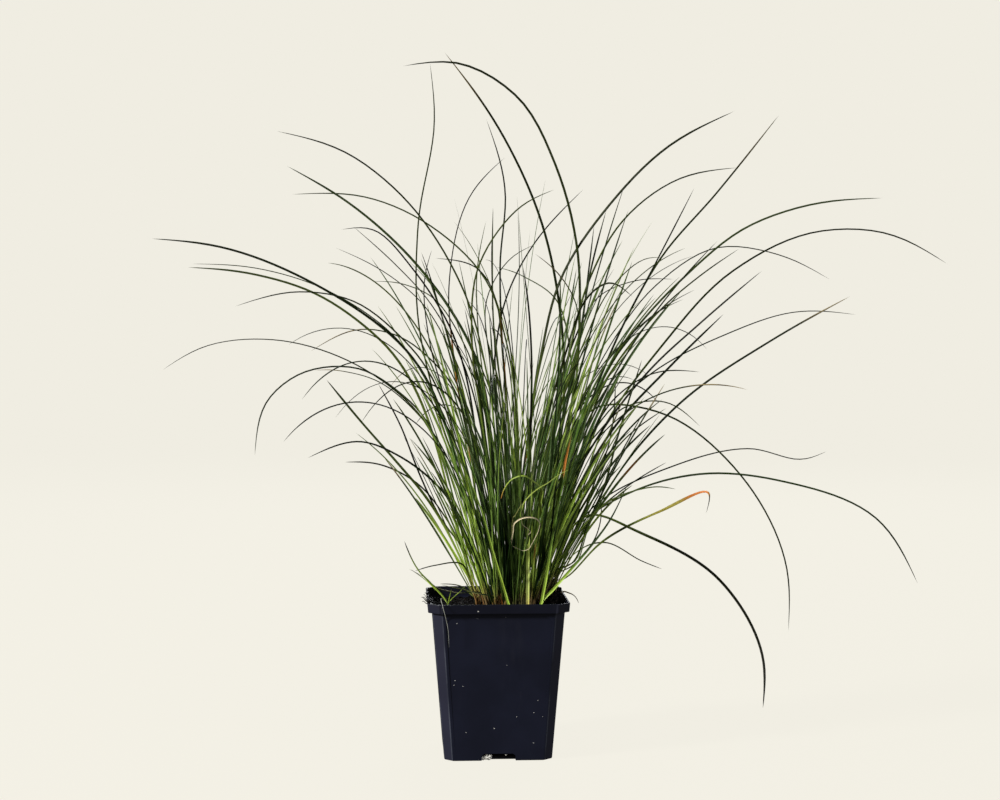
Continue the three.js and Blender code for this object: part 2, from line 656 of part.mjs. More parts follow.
// Least distance between two straight stretches.
function stretchDistance(p, q, a, b) {
  const d1 = minus(q, p);
  const d2 = minus(b, a);
  const r = minus(p, a);
  const aa = dot(d1, d1);
  const ee = dot(d2, d2);
  const f = dot(d2, r);
  const c = dot(d1, r);
  const bb = dot(d1, d2);
  const denominator = aa * ee - bb * bb;
  let s = denominator > 1e-9 ? clamp((bb * f - c * ee) / denominator, 0, 1) : 0;
  let t = (bb * s + f) / ee;
  if (t < 0) {
    t = 0;
    s = clamp(-c / aa, 0, 1);
  } else if (t > 1) {
    t = 1;
    s = clamp((bb - c) / aa, 0, 1);
  }
  const gap = minus(plus(r, times(d1, s)), times(d2, t));
  return Math.sqrt(dot(gap, gap));
}

// Height of what lies under a point: the soil, the pot's rim, or the ground outside the pot.
function groundHeight(x, y) {
  const out = Math.max(Math.abs(x), Math.abs(y));
  if (out > RIM_HALF + BLADE_GAP) return 0;
  return out > RIM_HALF - WALL - GROUND_GAP ? POT_HEIGHT : soilHeight(x, y);
}

// The stretches of the blades placed so far: owner, reach, ends and half width.
const placed = [];

function stretchesOf(owner, points, halfWidth) {
  const found = [];
  let along = 0;
  for (let i = 0; i + 1 < points.length; i += 1) {
    const from = points[i];
    const to = points[i + 1];
    const middle = times(plus(from, to), 0.5);
    const reach = Math.sqrt(dot(minus(to, from), minus(to, from))) / 2;
    const free = i === 0 ? plus(from, times(minus(to, from), Math.min(FUSED_LENGTH / (2 * reach), 1))) : from;
    found.push({ owner, from, to, free, middle, reach, halfWidth, along });
    along += 2 * reach;
  }
  return found;
}

function isClear(stretches) {
  for (const mine of stretches) {
    if (mine.along > 0 && mine.from[2] < groundHeight(mine.from[0], mine.from[1]) + GROUND_GAP) return false;
    for (const other of placed) {
      const need = mine.halfWidth + other.halfWidth + BLADE_GAP;
      const apart = minus(mine.middle, other.middle);
      const far = mine.reach + other.reach + need;
      if (dot(apart, apart) > far * far) continue;
      const kin = mine.owner === other.owner;
      if (kin && other.rooted) continue;
      const from = kin ? mine.free : mine.from;
      if (stretchDistance(from, mine.to, kin ? other.free : other.from, other.to) < need) return false;
    }
  }
  return true;
}

// Every so many points of a path, so that short blades have few faces and long ones stay smooth.
const thin = (trace, every) => trace.filter((_, i) => i % every === 0);

function place(blades, stand, trace, every, width, roll) {
  const points = thin(trace, every);
  const stretches = stretchesOf(stand.name, points, width / 2);
  if (!isClear(stretches)) return false;
  placed.push(...stretches);
  stand.held += 1;
  blades.push({ owner: stand.name, points, width, roll });
  return true;
}

const spreadAt = (z) => 1 + SPREAD_GAIN * clamp((z - SPREAD_FROM) / SPREAD_OVER, 0, 1) ** SPREAD_POWER;

// The stands from the nearest to the farthest, where a stand that holds many blades counts as farther.
function nearestStands(stands, x, y) {
  const away = (stand) => Math.hypot(stand.x - x, stand.y - y) + CROWDING * stand.held;
  return [...stands].sort((a, b) => away(a) - away(b));
}

// A blade's seen points from base to tip, each set at its depth.
function depthPath(stand, tipDepth, seen, power) {
  const path = seen.map((point, i) => {
    const share = (seen.length - i) / (seen.length + 0.6);
    return sighted(point, stand.y + (tipDepth - stand.y) * share ** power);
  });
  return path.reverse();
}

function growLongBlades(stands, blades) {
  LONG_BLADES.forEach(([tipDepth, width, ...seen], k) => {
    const random = randomFrom(9000 + k);
    const lowest = sighted(seen[seen.length - 1], 0);
    const across = (lowest[0] - CROWN_X) / spreadAt(lowest[2]);
    const rootX = CROWN_X + clamp(across, -CROWN_HALF_X, CROWN_HALF_X);
    const rootY = CROWN_Y + clamp(tipDepth * ROOT_SHARE, -ROOT_LIMIT, ROOT_LIMIT);
    const near = nearestStands(stands, rootX, rootY);
    for (let go = 0; go < 2 * TRIES; go += 1) {
      const stand = near[Math.floor(go / TRIES_EACH)];
      const start = axisPoint(stand, stand.height * between(...LEAVE, random()));
      const sway = ((go % TRIES_EACH) - 2) * (SWAY + SWAY_GAIN * go) * (random() < 0.5 ? -1 : 1);
      const path = depthPath(stand, tipDepth + sway, seen, DEPTH_POWER);
      const trace = splineTrace([start, ...path], [stand.leanX * 1.1, stand.leanY * 1.1, 1]);
      if (place(blades, stand, trace, 3, width, between(-LONG_ROLL, LONG_ROLL, random()))) break;
    }
  });
}

function growSeedling(stand, blades) {
  const start = axisPoint(stand, stand.height / 3);
  const direction = [stand.leanX, stand.leanY, 1];
  for (const [tipDepth, width, ...seen] of SEEDLING_LEAVES) {
    const path = depthPath(stand, tipDepth, seen, 1);
    place(blades, stand, splineTrace([start, ...path], direction), 6, width, 0);
  }
  place(blades, stand, splineTrace([start, ...DEAD_LEAF], [-0.2, -0.6, 1]), 2, DEAD_LEAF_WIDTH, 0);
}

function growArchingBlades(stands, blades) {
  for (let k = 0; k < ARCHING_BLADES; k += 1) {
    const random = randomFrom(7000 + k);
    const forward = k % 2 === 0 ? -1 : 1;
    for (let go = 0; go < TRIES; go += 1) {
      const heading = (forward * Math.PI) / 2 + between(-ARCH_FAN, ARCH_FAN, random());
      const reach = between(...ARCH_REACH, random());
      const rootX = CROWN_X + CROWN_HALF_X * reach * Math.cos(heading);
      const rootY = CROWN_Y + CROWN_HALF_Y * reach * Math.sin(heading);
      const stand = nearestStands(stands, rootX, rootY)[0];
      const start = axisPoint(stand, stand.height * between(...LEAVE, random()));
      const length = between(...ARCH_LENGTH, random());
      const bend = between(...ARCH_BEND, random());
      const lean = between(...ARCH_LEAN, random());
      const turn = between(-ARCH_TURN, ARCH_TURN, random());
      const trace = archTrace(start, lean, heading, turn, length, bend, ARCH_POWER);
      const width = between(...ARCH_WIDTH, random());
      if (place(blades, stand, trace, 4, width, between(-LONG_ROLL, LONG_ROLL, random()))) break;
    }
  }
}

// How a short blade's length changes with its lean to the side.
function lengthGain(leanX) {
  const gap = GAP_DEPTH * Math.exp(-(((leanX - GAP_LEAN) / GAP_WIDTH) ** 2));
  const far = FAR_DEPTH * clamp((Math.abs(leanX) - FAR_LEAN) / FAR_WIDTH, 0, 1);
  const lobe = LOBE_GAIN * Math.exp(-(((leanX - LOBE_LEAN) / LOBE_WIDTH) ** 2));
  return 1 - gap - far + lobe;
}

function growShortBlades(stands, blades) {
  const most = BLADES_PER_TUFT + LOBE_EXTRA;
  for (let i = 0; i < most; i += 1) {
    stands.forEach((stand, k) => {
      if (i >= stand.blades) return;
      const random = randomFrom(100 * i + k + 1);
      const around = i * GOLDEN_ANGLE + k;
      for (let go = 0; go < TRIES; go += 1) {
        const axis = axisPoint(stand, stand.height * between(...SHORT_LEAVE, (i + random()) / most));
        const stray = Math.tan(between(SHORT_STRAY[0], SHORT_STRAY[1] + (go * DEGREE) / 8, random()));
        const way = around + between(-0.5, 0.5, random()) * (1 + go / 12);
        const start = plus(axis, [ROOT_OFFSET * Math.cos(way), ROOT_OFFSET * Math.sin(way), 0]);
        const leanX = stand.leanX + stray * Math.cos(way);
        const leanY = stand.leanY + stray * Math.sin(way);
        const heading = Math.atan2(leanY, leanX);
        const lean = Math.atan(Math.hypot(leanX, leanY));
        const edge = SHORT_EDGE[0] - SHORT_EDGE[1] * stand.share ** 2;
        const length = between(...SHORT_LENGTH, random() ** 0.9) * edge * lengthGain(leanX);
        const bend = (SHORT_BEND[0] + SHORT_BEND[1] * random() ** 2) * (1.1 - lean);
        const turn = between(-SHORT_TURN, SHORT_TURN, random());
        const trace = archTrace(start, lean, heading, turn, length, bend, SHORT_POWER);
        const width = between(...SHORT_WIDTH, random());
        const bow = length * bend;
        const every = bow > FULL_BOW ? 6 : bow > SLIM_BOW ? 8 : 12;
        if (place(blades, stand, trace, every, width, between(...SHORT_ROLL, random()))) break;
      }
    });
  }
}

// Half width of a blade at a share of its length, as a share of its greatest half width.
const taper = (share) =>
  Math.min(1, TAPER_FOOT + TAPER_GAIN * share) * (1 - TAPER_LOSS * share ** TAPER_POWER);

// A keeled blade: two edges and a keel below, drawn to a point at the tip.
function makeBlade(blade) {
  const { points, width, roll } = blade;
  const last = points.length - 1;
  const rings = [];
  for (let i = 0; i < last; i += 1) {
    const before = points[Math.max(i - 1, 0)];
    const along = unit(minus(points[i + 1], before));
    const flat = unit(cross(along, bladeFacing(points)));
    const face = cross(flat, along);
    const across = plus(times(flat, Math.cos(roll)), times(face, Math.sin(roll)));
    const below = cross(across, along);
    const half = (width / 2) * taper(i / last);
    const keel = Math.max(2 * half * KEEL_SHARE, KEEL_LEAST);
    const middle = minus(points[i], times(below, keel / 3));
    const edge = times(across, half);
    rings.push([plus(middle, edge), minus(middle, edge), plus(middle, times(below, keel))]);
  }
  return coneLoft(rings, points[last]);
}

// The side that a blade's bow faces, so that its flat lies across the bow.
function bladeFacing(points) {
  const last = points.length - 1;
  const chord = minus(points[last], points[0]);
  const bow = minus(plus(points[0], times(chord, 0.5)), points[Math.round(last / 2)]);
  const length = Math.sqrt(dot(bow, bow));
  return length > 2 ? times(bow, -1 / length) : unit([-chord[1], chord[0], 0.2 * chord[2]]);
}

// Rings of three joined by faces, closed by a flat end and by a point.
function coneLoft(rings, tip) {
  const positions = [...rings.flat(2), ...tip];
  const index = [0, 2, 1];
  const apex = rings.length * 3;
  for (let ring = 0; ring < rings.length; ring += 1) {
    for (let i = 0; i < 3; i += 1) {
      const here = ring * 3 + i;
      const next = ring * 3 + ((i + 1) % 3);
      if (ring + 1 === rings.length) index.push(here, next, apex);
      else index.push(here, next, here + 3, next, next + 3, here + 3);
    }
  }
  const geometry = new THREE.BufferGeometry();
  geometry.setAttribute("position", new THREE.Float32BufferAttribute(positions, 3));
  geometry.setIndex(index);
  return geometry;
}

// The largest closed skin of a solid, so that no pocket between crossing blades stays hollow.
function outerSkin(solid) {
  return solid.decompose().reduce((best, body) => (body.volume() > best.volume() ? body : best));
}

function outward(solid) {
  if (solid.volume() > 0) return solid;
  throw new Error("a blade faces inwards");
}

// Whether a skin stays closed once vertices nearer than a hair are joined and thin faces dropped.
function staysClosed(geometry, hair) {
  const at = geometry.attributes.position;
  const spot = (i) => [at.getX(i), at.getY(i), at.getZ(i)].map((value) => Math.round(value / hair)).join();
  const edges = new Map();
  for (let i = 0; i < at.count; i += 3) {
    const [a, b, c] = [spot(i), spot(i + 1), spot(i + 2)];
    if (a === b || b === c || c === a) continue;
    for (const edge of [`${a} ${b}`, `${b} ${c}`, `${c} ${a}`]) {
      if (edges.has(edge)) return false;
      edges.set(edge, edge.split(" ").reverse().join(" "));
    }
  }
  return [...edges.values()].every((back) => edges.has(back));
}

// A tuft in one skin. The sheath's top moves by a little until the skin holds no hair-thin faces.
function makeTuft(stand, blades) {
  const own = blades.filter((blade) => blade.owner === stand.name);
  const shoots = own.map((blade) => outward(solidFrom(makeBlade(blade))));
  for (let go = 0; go < TRIES; go += 1) {
    const sheath = solidFrom(makeSheath(stand, stand.height + go * SHEATH_NUDGE));
    const skin = geometryFrom(outerSkin(shoots.reduce((tuft, shoot) => tuft.add(shoot), sheath)));
    if (staysClosed(skin, 1e-3) && staysClosed(skin, 1e-4)) return skin;
  }
  throw new Error(`${stand.name} doesn't close`);
}

const stands = makeStands();
for (const stand of stands) {
  const ends = [axisPoint(stand, 0), axisPoint(stand, stand.height)];
  const [sheath] = stretchesOf(stand.name, ends, SHEATH_RADIUS);
  placed.push({ ...sheath, rooted: true });
}
const blades = [];
const seedling = makeSeedlingStand();
growSeedling(seedling, blades);
growLongBlades(stands, blades);
growArchingBlades(stands, blades);
growShortBlades(stands, blades);

const plant = new THREE.Group();

function addPiece(name, geometry, colour, roughness) {
  const material = new THREE.MeshStandardMaterial({ color: colour, roughness, metalness: 0 });
  const mesh = new THREE.Mesh(geometry, material);
  mesh.name = name;
  plant.add(mesh);
}

addPiece("pot", makePot(), POT_COLOUR, 0.45);
addPiece("soil", makeSoil([...stands, seedling]), SOIL_COLOUR, 0.95);
addPiece(seedling.name, makeTuft(seedling, blades), LEAF_COLOURS[2], 0.5);
stands.forEach((stand, k) => {
  addPiece(stand.name, makeTuft(stand, blades), LEAF_COLOURS[k % LEAF_COLOURS.length], 0.5);
});

export default plant;
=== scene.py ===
import math
import random
from typing import NamedTuple

import bmesh
import bpy
import numpy as np
from mathutils import Euler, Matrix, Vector, noise


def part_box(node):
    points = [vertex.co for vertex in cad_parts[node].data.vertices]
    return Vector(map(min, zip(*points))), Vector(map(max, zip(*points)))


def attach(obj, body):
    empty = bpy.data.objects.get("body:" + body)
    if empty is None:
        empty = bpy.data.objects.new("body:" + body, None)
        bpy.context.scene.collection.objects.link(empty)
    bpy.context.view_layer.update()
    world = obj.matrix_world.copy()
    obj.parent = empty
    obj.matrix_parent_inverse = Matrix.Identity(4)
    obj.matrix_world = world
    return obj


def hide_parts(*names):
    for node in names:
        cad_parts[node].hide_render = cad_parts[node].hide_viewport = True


bl_info = {
    "name": "Potted sedge",
    "version": (1, 0, 0),
    "blender": (4, 5, 0),
    "location": "View3D > Sidebar > Sedge",
    "description": "Dresses a clump of fine-leaved sedge in a square nursery pot",
    "category": "Object",
}

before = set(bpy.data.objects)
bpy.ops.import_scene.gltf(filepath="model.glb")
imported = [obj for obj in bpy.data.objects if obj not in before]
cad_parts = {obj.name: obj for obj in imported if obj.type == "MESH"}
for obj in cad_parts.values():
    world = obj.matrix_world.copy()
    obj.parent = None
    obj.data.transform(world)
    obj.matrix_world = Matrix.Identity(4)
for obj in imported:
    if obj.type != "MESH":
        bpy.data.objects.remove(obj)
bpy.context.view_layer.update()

# Everything below is in millimetres with +Z up until a mesh is made.
MM = 0.001
DEGREE = math.pi / 180
GOLDEN_ANGLE = 137.508 * DEGREE

# Pot.
POT_HEIGHT = 100
RIM_HALF = 45
RIM_BAND = 6.4
RIM_DRAFT = 0.4
RIM_CHAMFER = 7
BODY_TOP_HALF = 41.8
BODY_BASE_HALF = 34.2
BODY_CHAMFER = 6
BASE_CHAMFER = 5
WALL = 1.4
FLOOR = 1.8
SHOULDER = 1.6
FOOT_EDGE = 0.8
PANEL_DEPTH = 0.5
PANEL_MARGIN = 2.2
PANEL_FOOT = 8
PANEL_TOP_GAP = 1.6
PANEL_CORNER = 5
NOTCH_HALF = 10.8
NOTCH_HEIGHT = 4.6
NOTCH_CORNER = 2.6
NOTCH_REACH = 5
DRAIN_RADIUS = 3
DRAIN_OFFSET = 15
SEAT_GAP = 0.3

# Soil.
SOIL_LEVEL = 93
CROWN_RISE = 2.2
CROWN_RISE_SPREAD = 24
SOIL_RIPPLE = 0.5
RIPPLE_X = (0.55, 0.9)
RIPPLE_Y = (0.48, 0.4)
# Clods heaped at the right: the middle and the half sizes of each.
CLODS = (
    (38.2, -17, 98.2, 4.4, 7.5, 5.4),
    (38.6, -4, 99.2, 4.1, 8, 6.2),
    (36.5, 9, 97.2, 6, 7, 5),
)

# Crown of the clump.
TUFTS = 44
CROWN_X = 11
CROWN_Y = 1
CROWN_HALF_X = 25
CROWN_HALF_Y = 27
LEAN_LEFT = 0.42
LEAN_RIGHT = 0.36
LEAN_DEEP = 0.42
LEAN_STRAY = 0.15
LEAN_POWER = 1.5
# Tufts at the crown's edge: the place of each, and its lean to the side and to the back.
OUTLIERS = (
    (36.6, -11, 0.42, -0.1),
    (36.8, 2, 0.46, 0.04),
    (35.5, 14, 0.4, 0.14),
)
OUTLIER_BLADES = 3
SHEATH_RADIUS = 1.9
SHEATH_HEIGHT = 11
SHEATH_RANGE = (0.8, 1.2)
OUTLIER_SHEATH = 0.7
COLLAR = 4.5
COLLAR_POINTS = 8

# Blades.
BLADES_PER_TUFT = 5
THIN_LEFT = 2
THIN_BELOW = -0.35
LOBE_EXTRA = 2
LOBE_FROM = 0.15
LOBE_UP_TO = 0.7
ROOT_OFFSET = 0.9
TRACE_STEPS = 24
SLIM_BOW = 55
FULL_BOW = 110
BLADE_GAP = 0.3
GROUND_GAP = 1.5
FUSED_LENGTH = 20
TRIES = 60
TRIES_EACH = 6
CROWDING = 3
# How high up its sheath a long blade leaves it, and how far it may roll about its length.
LEAVE = (0.2, 0.7)
LONG_ROLL = 40 * DEGREE
# Every so many points of its path, a blade's solid has a corner. A short one has most where it bows furthest.
CORNER_EVERY = {"seedling": 6, "dead": 2, "long": 3, "arching": 4}
SHORT_EVERY = (6, 8, 12)
# Seeds of the draws for each kind, and the step from one round of short blades to the next.
STAND_SEED = 500
ARCHING_SEED = 7000
LONG_SEED = 9000
SHORT_SEED_STEP = 100
DRAW_MODULUS = 2147483647
DRAW_FACTOR = 48271
SEED_FACTOR = 7919
SEED_SHIFT = 104729

# The view from the front in which the long blades are given.
VIEW_DISTANCE = 1250
VIEW_HEIGHT = 246
VIEW_LIFT = 1
VIEW_SHIFT = 2.6
VIEW_TURN = 3 * DEGREE

# Each long blade: depth of its tip behind the pot's middle, width, and its points from tip to base.
LONG_BLADES = (
    (-30, 1.8, (170.5, 26), (171, 57), (142.7, 109), (90.8, 139.7), (58, 151)),
    (45, 1.5, (187, 75), (186, 116), (155.6, 177), (103.8, 217), (68, 222)),
    (-65, 1.5, (271, 107), (246.4, 147), (181.6, 173.5), (129.7, 177.7), (77.8, 162.4), (50, 143)),
    (75, 1.3, (212, 191), (196.5, 186), (162, 193), (110, 181), (58, 153)),
    (-45, 1.6, (133.6, 152.7), (135.5, 165.7), (103.8, 154), (64.9, 133), (45.4, 112.5)),
    (100, 1.2, (105, 114), (91, 120), (68, 132), (52, 128)),
    (-30, 1.3, (-55, 115), (-42, 118.4), (-25, 119)),
    (12, 1.2, (-39, 106), (-26, 104.8), (-14, 98)),
    (-40, 1.7, (-226, 330.5), (-180, 324.5), (-120, 300.5), (-65, 262)),
    (30, 1.7, (-202.5, 311), (-160, 306.5), (-120, 294), (-80, 266)),
    (85, 1.3, (-200, 312), (-155, 309), (-113, 296), (-75, 272)),
    (-95, 1.4, (-172, 287.5), (-130, 296.5), (-95, 290), (-60, 262)),
    (60, 1.3, (-219, 243.5), (-190, 259.5), (-145, 263.5), (-92, 247), (-58, 222)),
    (-70, 1.5, (-159, 190), (-150, 226.5), (-130, 242.5), (-92, 246), (-60, 226)),
    (120, 1.3, (-120, 243), (-103, 243), (-78, 236), (-50, 212)),
    (-20, 2, (-112.5, 239), (-92, 214), (-65, 183), (-50, 165)),
    (95, 1.4, (-123, 255.5), (-91, 270), (-65, 265.5), (-40, 246)),
    (-55, 1.5, (-124.5, 189), (-91, 199), (-65, 189), (-39, 168)),
    (45, 1.5, (-100.5, 184.5), (-78, 183), (-52, 169.5), (-36, 150)),
    (15, 1.5, (-79, 236), (-65, 210), (-52, 177), (-42, 155)),
    (-70, 1.7, (-63, 443), (-25, 444), (10, 423.5), (37, 375), (49, 330), (51, 262)),
    (55, 1.7, (-36, 450), (0, 399), (27, 339), (39, 280), (41, 220)),
    (-110, 1.4, (-9, 410), (3, 365), (0, 315), (1, 270), (4.5, 225)),
    (-30, 1.5, (-45.5, 445), (-42.5, 410), (-53, 340), (-53, 277), (-42, 225)),
    (130, 1.4, (3.5, 381), (-20, 355), (-33, 300), (-29, 245)),
    (-150, 1.4, (35.5, 365), (10, 350), (-14, 313), (-18, 262), (-12, 215)),
    (105, 1.4, (54, 360), (20, 322), (3, 287), (-4, 245)),
    (-60, 1.2, (24, 328), (6, 317), (-8, 293), (-6, 245)),
    (-85, 1.5, (-145, 401.5), (-100, 387), (-65, 360), (-22, 293), (-8, 240)),
    (20, 1.8, (-138, 376.5), (-95, 350.5), (-50, 308), (-22, 266)),
    (110, 1.4, (-135, 357), (-85, 355), (-45, 337), (-8, 300), (4, 262)),
    (-130, 1.4, (-103, 338.5), (-80, 336.5), (-57, 312), (-36, 280)),
    (60, 1.4, (-95.5, 337), (-65, 309.5), (-47, 290), (-30, 262)),
    (-45, 1.3, (-106.5, 325), (-75, 309), (-50, 288), (-32, 258)),
    (140, 1.3, (-82.5, 300), (-62, 298.5), (-42, 289), (-24, 262)),
    (-110, 1.3, (-51, 323.5), (-44, 303), (-36, 275), (-26, 235)),
    (75, 1.3, (-44, 322), (-49, 300), (-46, 265), (-34, 220)),
    (-160, 1.3, (-42, 320.5), (-15, 313), (-3, 293), (2, 250)),
    (-35, 1.3, (-9, 342), (-14.5, 312), (-14, 270), (-8, 220)),
    (90, 1.4, (-4.5, 349), (-5, 320), (-4, 270), (2, 220)),
    (-80, 1.5, (15, 313), (18.5, 288), (20.5, 255), (20, 210)),
    (160, 1.3, (-3, 309), (15, 303.5), (37, 288), (46, 250)),
    (-120, 1.4, (23, 322), (40, 306), (50, 286), (48, 240)),
    (-50, 1.6, (152, 413.5), (110, 391), (70, 351), (40, 305), (26, 250)),
    (80, 1.6, (154, 374.5), (115, 367), (80, 341), (57, 300), (44, 250)),
    (35, 1.7, (181, 409.5), (140, 358.5), (105, 318), (82, 278), (62, 232)),
    (-25, 2, (126, 363.5), (100, 313), (80, 275), (62, 232)),
    (-75, 1.6, (248, 357.5), (200, 352.5), (160, 338), (120, 306), (82, 264)),
    (25, 1.6, (290, 313), (250, 333), (205, 334), (150, 308), (104, 259), (70, 212)),
    (95, 1.3, (214, 302), (180, 318.5), (140, 323), (100, 298), (70, 258)),
    (-105, 1.5, (170, 310.5), (130, 276), (98, 246), (68, 208)),
    (55, 1.6, (145, 280), (110, 246), (75, 208), (56, 178)),
    (120, 1.4, (231, 278.5), (190, 280.5), (145, 266), (100, 243), (66, 212)),
    (-60, 1.6, (227, 293.5), (175, 264), (117, 224), (78, 180), (58, 145), (48, 117)),
    (-20, 1.6, (92, 252), (77, 204.5), (66, 165), (55, 139.5), (49, 121.5)),
    (5, 1.5, (75, 240), (69.5, 193), (62, 174), (53.5, 150), (42.5, 124.5)),
    (-35, 1.4, (107, 237), (88.5, 206.5), (71, 175), (58, 148), (46, 119)),
    (20, 1.3, (61, 172), (65.7, 155), (62.7, 138), (47.8, 118.5)),
    (70, 1.4, (155, 322), (130, 305), (105, 284), (74, 246)),
    (-140, 1.4, (141, 331.5), (110, 296), (82, 256), (60, 214)),
    (130, 1.3, (119, 289), (100, 279), (78, 256), (58, 222)),
    (-90, 1.3, (105, 320), (90, 316.5), (70, 296), (54, 262)),
    (150, 1.3, (113, 301), (85, 300), (62, 289), (46, 258)),
    (-130, 1.5, (86, 295), (70, 303), (55, 291), (42, 255)),
    (-40, 2.1, (69, 349), (58, 305), (52, 268), (43, 220)),
    (110, 1.5, (61, 337), (57, 305), (52, 265), (44, 225)),
    (-20, 1.4, (130, 244), (100, 243), (76, 228), (56, 196)),
    (60, 1.3, (130, 208), (107, 224), (84, 222), (60, 200)),
    (-85, 1.4, (108, 221.5), (81, 201), (60, 172), (47, 148)),
    (20, 1.4, (108, 184.5), (84, 170), (60, 150), (46, 130)),
    (-100, 1.3, (114, 169.6), (97, 170), (70, 160), (50, 138)),
)

# How a long blade's path is set in depth.
ROOT_SHARE = 0.17
ROOT_LIMIT = 22
DEPTH_POWER = 1.3
DEPTH_LAG = 0.6
ROOT_LEAN = 1.1
SWAY = 5
SWAY_GAIN = 0.4
# How the clump widens from a height above the soil.
SPREAD_GAIN = 2.3
SPREAD_FROM = 95
SPREAD_OVER = 190
SPREAD_POWER = 0.75

# Long blades that arch towards the back and the front.
ARCHING_BLADES = 28
ARCH_LENGTH = (230, 330)
ARCH_BEND = (55 * DEGREE, 120 * DEGREE)
ARCH_LEAN = (6 * DEGREE, 16 * DEGREE)
ARCH_FAN = 45 * DEGREE
ARCH_REACH = (0.55, 0.95)
ARCH_TURN = 0.3
ARCH_POWER = 1.5
ARCH_WIDTH = (1.4, 1.8)

# Short blades. Pairs are the least and the most, apart from two: the edge is a share of length at the crown's
# middle and what it loses towards the edge, and the bend is the least and what a draw adds.
SHORT_LENGTH = (125, 258)
SHORT_LENGTH_POWER = 0.9
SHORT_EDGE = (1.05, 0.2)
SHORT_STRAY = (3 * DEGREE, 13 * DEGREE)
SHORT_STRAY_GROWTH = DEGREE / 8
SHORT_WANDER = 0.5
SHORT_WANDER_TRIES = 12
SHORT_BEND = (8 * DEGREE, 40 * DEGREE)
SHORT_BEND_MARGIN = 1.1
SHORT_TURN = 0.5
SHORT_POWER = 1.7
SHORT_WIDTH = (1.4, 2.1)
SHORT_ROLL = (45 * DEGREE, 135 * DEGREE)
SHORT_LEAVE = (0.1, 0.8)
# They are shorter in a gap near the middle and far out at the sides, and longer in a lobe at the right.
GAP_DEPTH = 0.38
GAP_LEAN = 0.02
GAP_WIDTH = 0.1
FAR_DEPTH = 0.36
FAR_LEAN = 0.2
FAR_WIDTH = 0.12
LOBE_GAIN = 0.16
LOBE_LEAN = 0.17
LOBE_WIDTH = 0.08

# Seedling at the left.
SEEDLING_AT = (-31.5, -24)
SEEDLING_LEAN = (-0.12, -0.06)
SEEDLING_SHEATH = 6
# Each leaf, given as the long blades are.
SEEDLING_LEAVES = (
    (-36, 2, (-62, 134.6), (-52, 114.5), (-44, 106)),
    (-18, 1.1, (-58, 116), (-45, 106)),
    (-30, 1.3, (-31, 105), (-32, 101)),
    (-14, 1.1, (-20, 107), (-25.5, 102)),
)
DEAD_LEAF_WIDTH = 1.3
DEAD_LEAF_START = (-0.2, -0.6, 1)
DEAD_LEAF = (
    (-34.5, -34, 101.5),
    (-36.6, -43.5, 103.4),
    (-35.4, -47.9, 98.8),
    (-32.6, -46.9, 87),
    (-31.6, -44.4, 73),
)


# Growing the clump.


def draws(seed):
    """Pseudo-random numbers from 0 to 1, the same for the same seed."""
    state = [(seed * SEED_FACTOR + SEED_SHIFT) % DRAW_MODULUS]

    def share():
        state[0] = (state[0] * DRAW_FACTOR) % DRAW_MODULUS
        return state[0] / DRAW_MODULUS

    share()
    share()
    return share


def between(low, high, share):
    return low + (high - low) * share


def either_way(most, share):
    return between(-most, most, share)


def clamp(value, low, high):
    return min(max(value, low), high)


def bell(value, middle, width):
    """1 at a middle, and smoothly less on both sides of it."""
    return math.exp(-(((value - middle) / width) ** 2))


def unit(vector):
    return vector / math.sqrt(float(np.dot(vector, vector)))


def base_soil_height(x, y):
    """Height of the soil's surface without its clods."""
    from_crown = (x - CROWN_X) ** 2 + (y - CROWN_Y) ** 2
    rise = CROWN_RISE * math.exp(-from_crown / (2 * CROWN_RISE_SPREAD**2))
    ripple = math.sin(RIPPLE_X[0] * x + RIPPLE_X[1]) * math.sin(RIPPLE_Y[0] * y + RIPPLE_Y[1])
    return SOIL_LEVEL + rise + SOIL_RIPPLE * ripple


def soil_height(x, y):
    height = base_soil_height(x, y)
    for cx, cy, cz, rx, ry, rz in CLODS:
        inside = 1 - ((x - cx) / rx) ** 2 - ((y - cy) / ry) ** 2
        if inside > 0:
            height = max(height, cz + rz * math.sqrt(inside))
    return height


def ground_height(x, y):
    """Height of what lies under a point: the soil, the pot's rim, or the ground."""
    out = max(abs(x), abs(y))
    if out > RIM_HALF + BLADE_GAP:
        return 0
    return POT_HEIGHT if out > RIM_HALF - WALL - GROUND_GAP else soil_height(x, y)


class Stand:
    """Where a tuft stands, how it leans and how high its sheath reaches."""

    def __init__(self, name, x, y, lean_x, lean_y, height, share=1.0, blades=0):
        around = [2 * math.pi * i / COLLAR_POINTS for i in range(COLLAR_POINTS)]
        rim = [soil_height(x + COLLAR * math.cos(a), y + COLLAR * math.sin(a)) for a in around]
        self.name = name
        self.x, self.y, self.soil = x, y, max([soil_height(x, y), *rim])
        self.lean_x, self.lean_y = lean_x, lean_y
        self.height = height
        self.share = share
        self.blades = blades
        self.held = 0

    def axis(self, height):
        """A point on the tuft's axis, at a height above its soil."""
        lean = max(height - 1, 0)
        return np.array([self.x + self.lean_x * lean, self.y + self.lean_y * lean, self.soil + height])


class Blade:
    """One blade: its stand, its path of points from base to tip, its width and its roll."""

    def __init__(self, stand, trace, every, width, roll, kind, number):
        self.stand, self.trace, self.every = stand, trace, every
        self.width, self.roll = width, roll
        self.kind, self.number = kind, number
        self.long_one = kind in ("long", "arching")

    def corners(self):
        """The points that the blade's solid uses."""
        return self.trace[:: self.every]


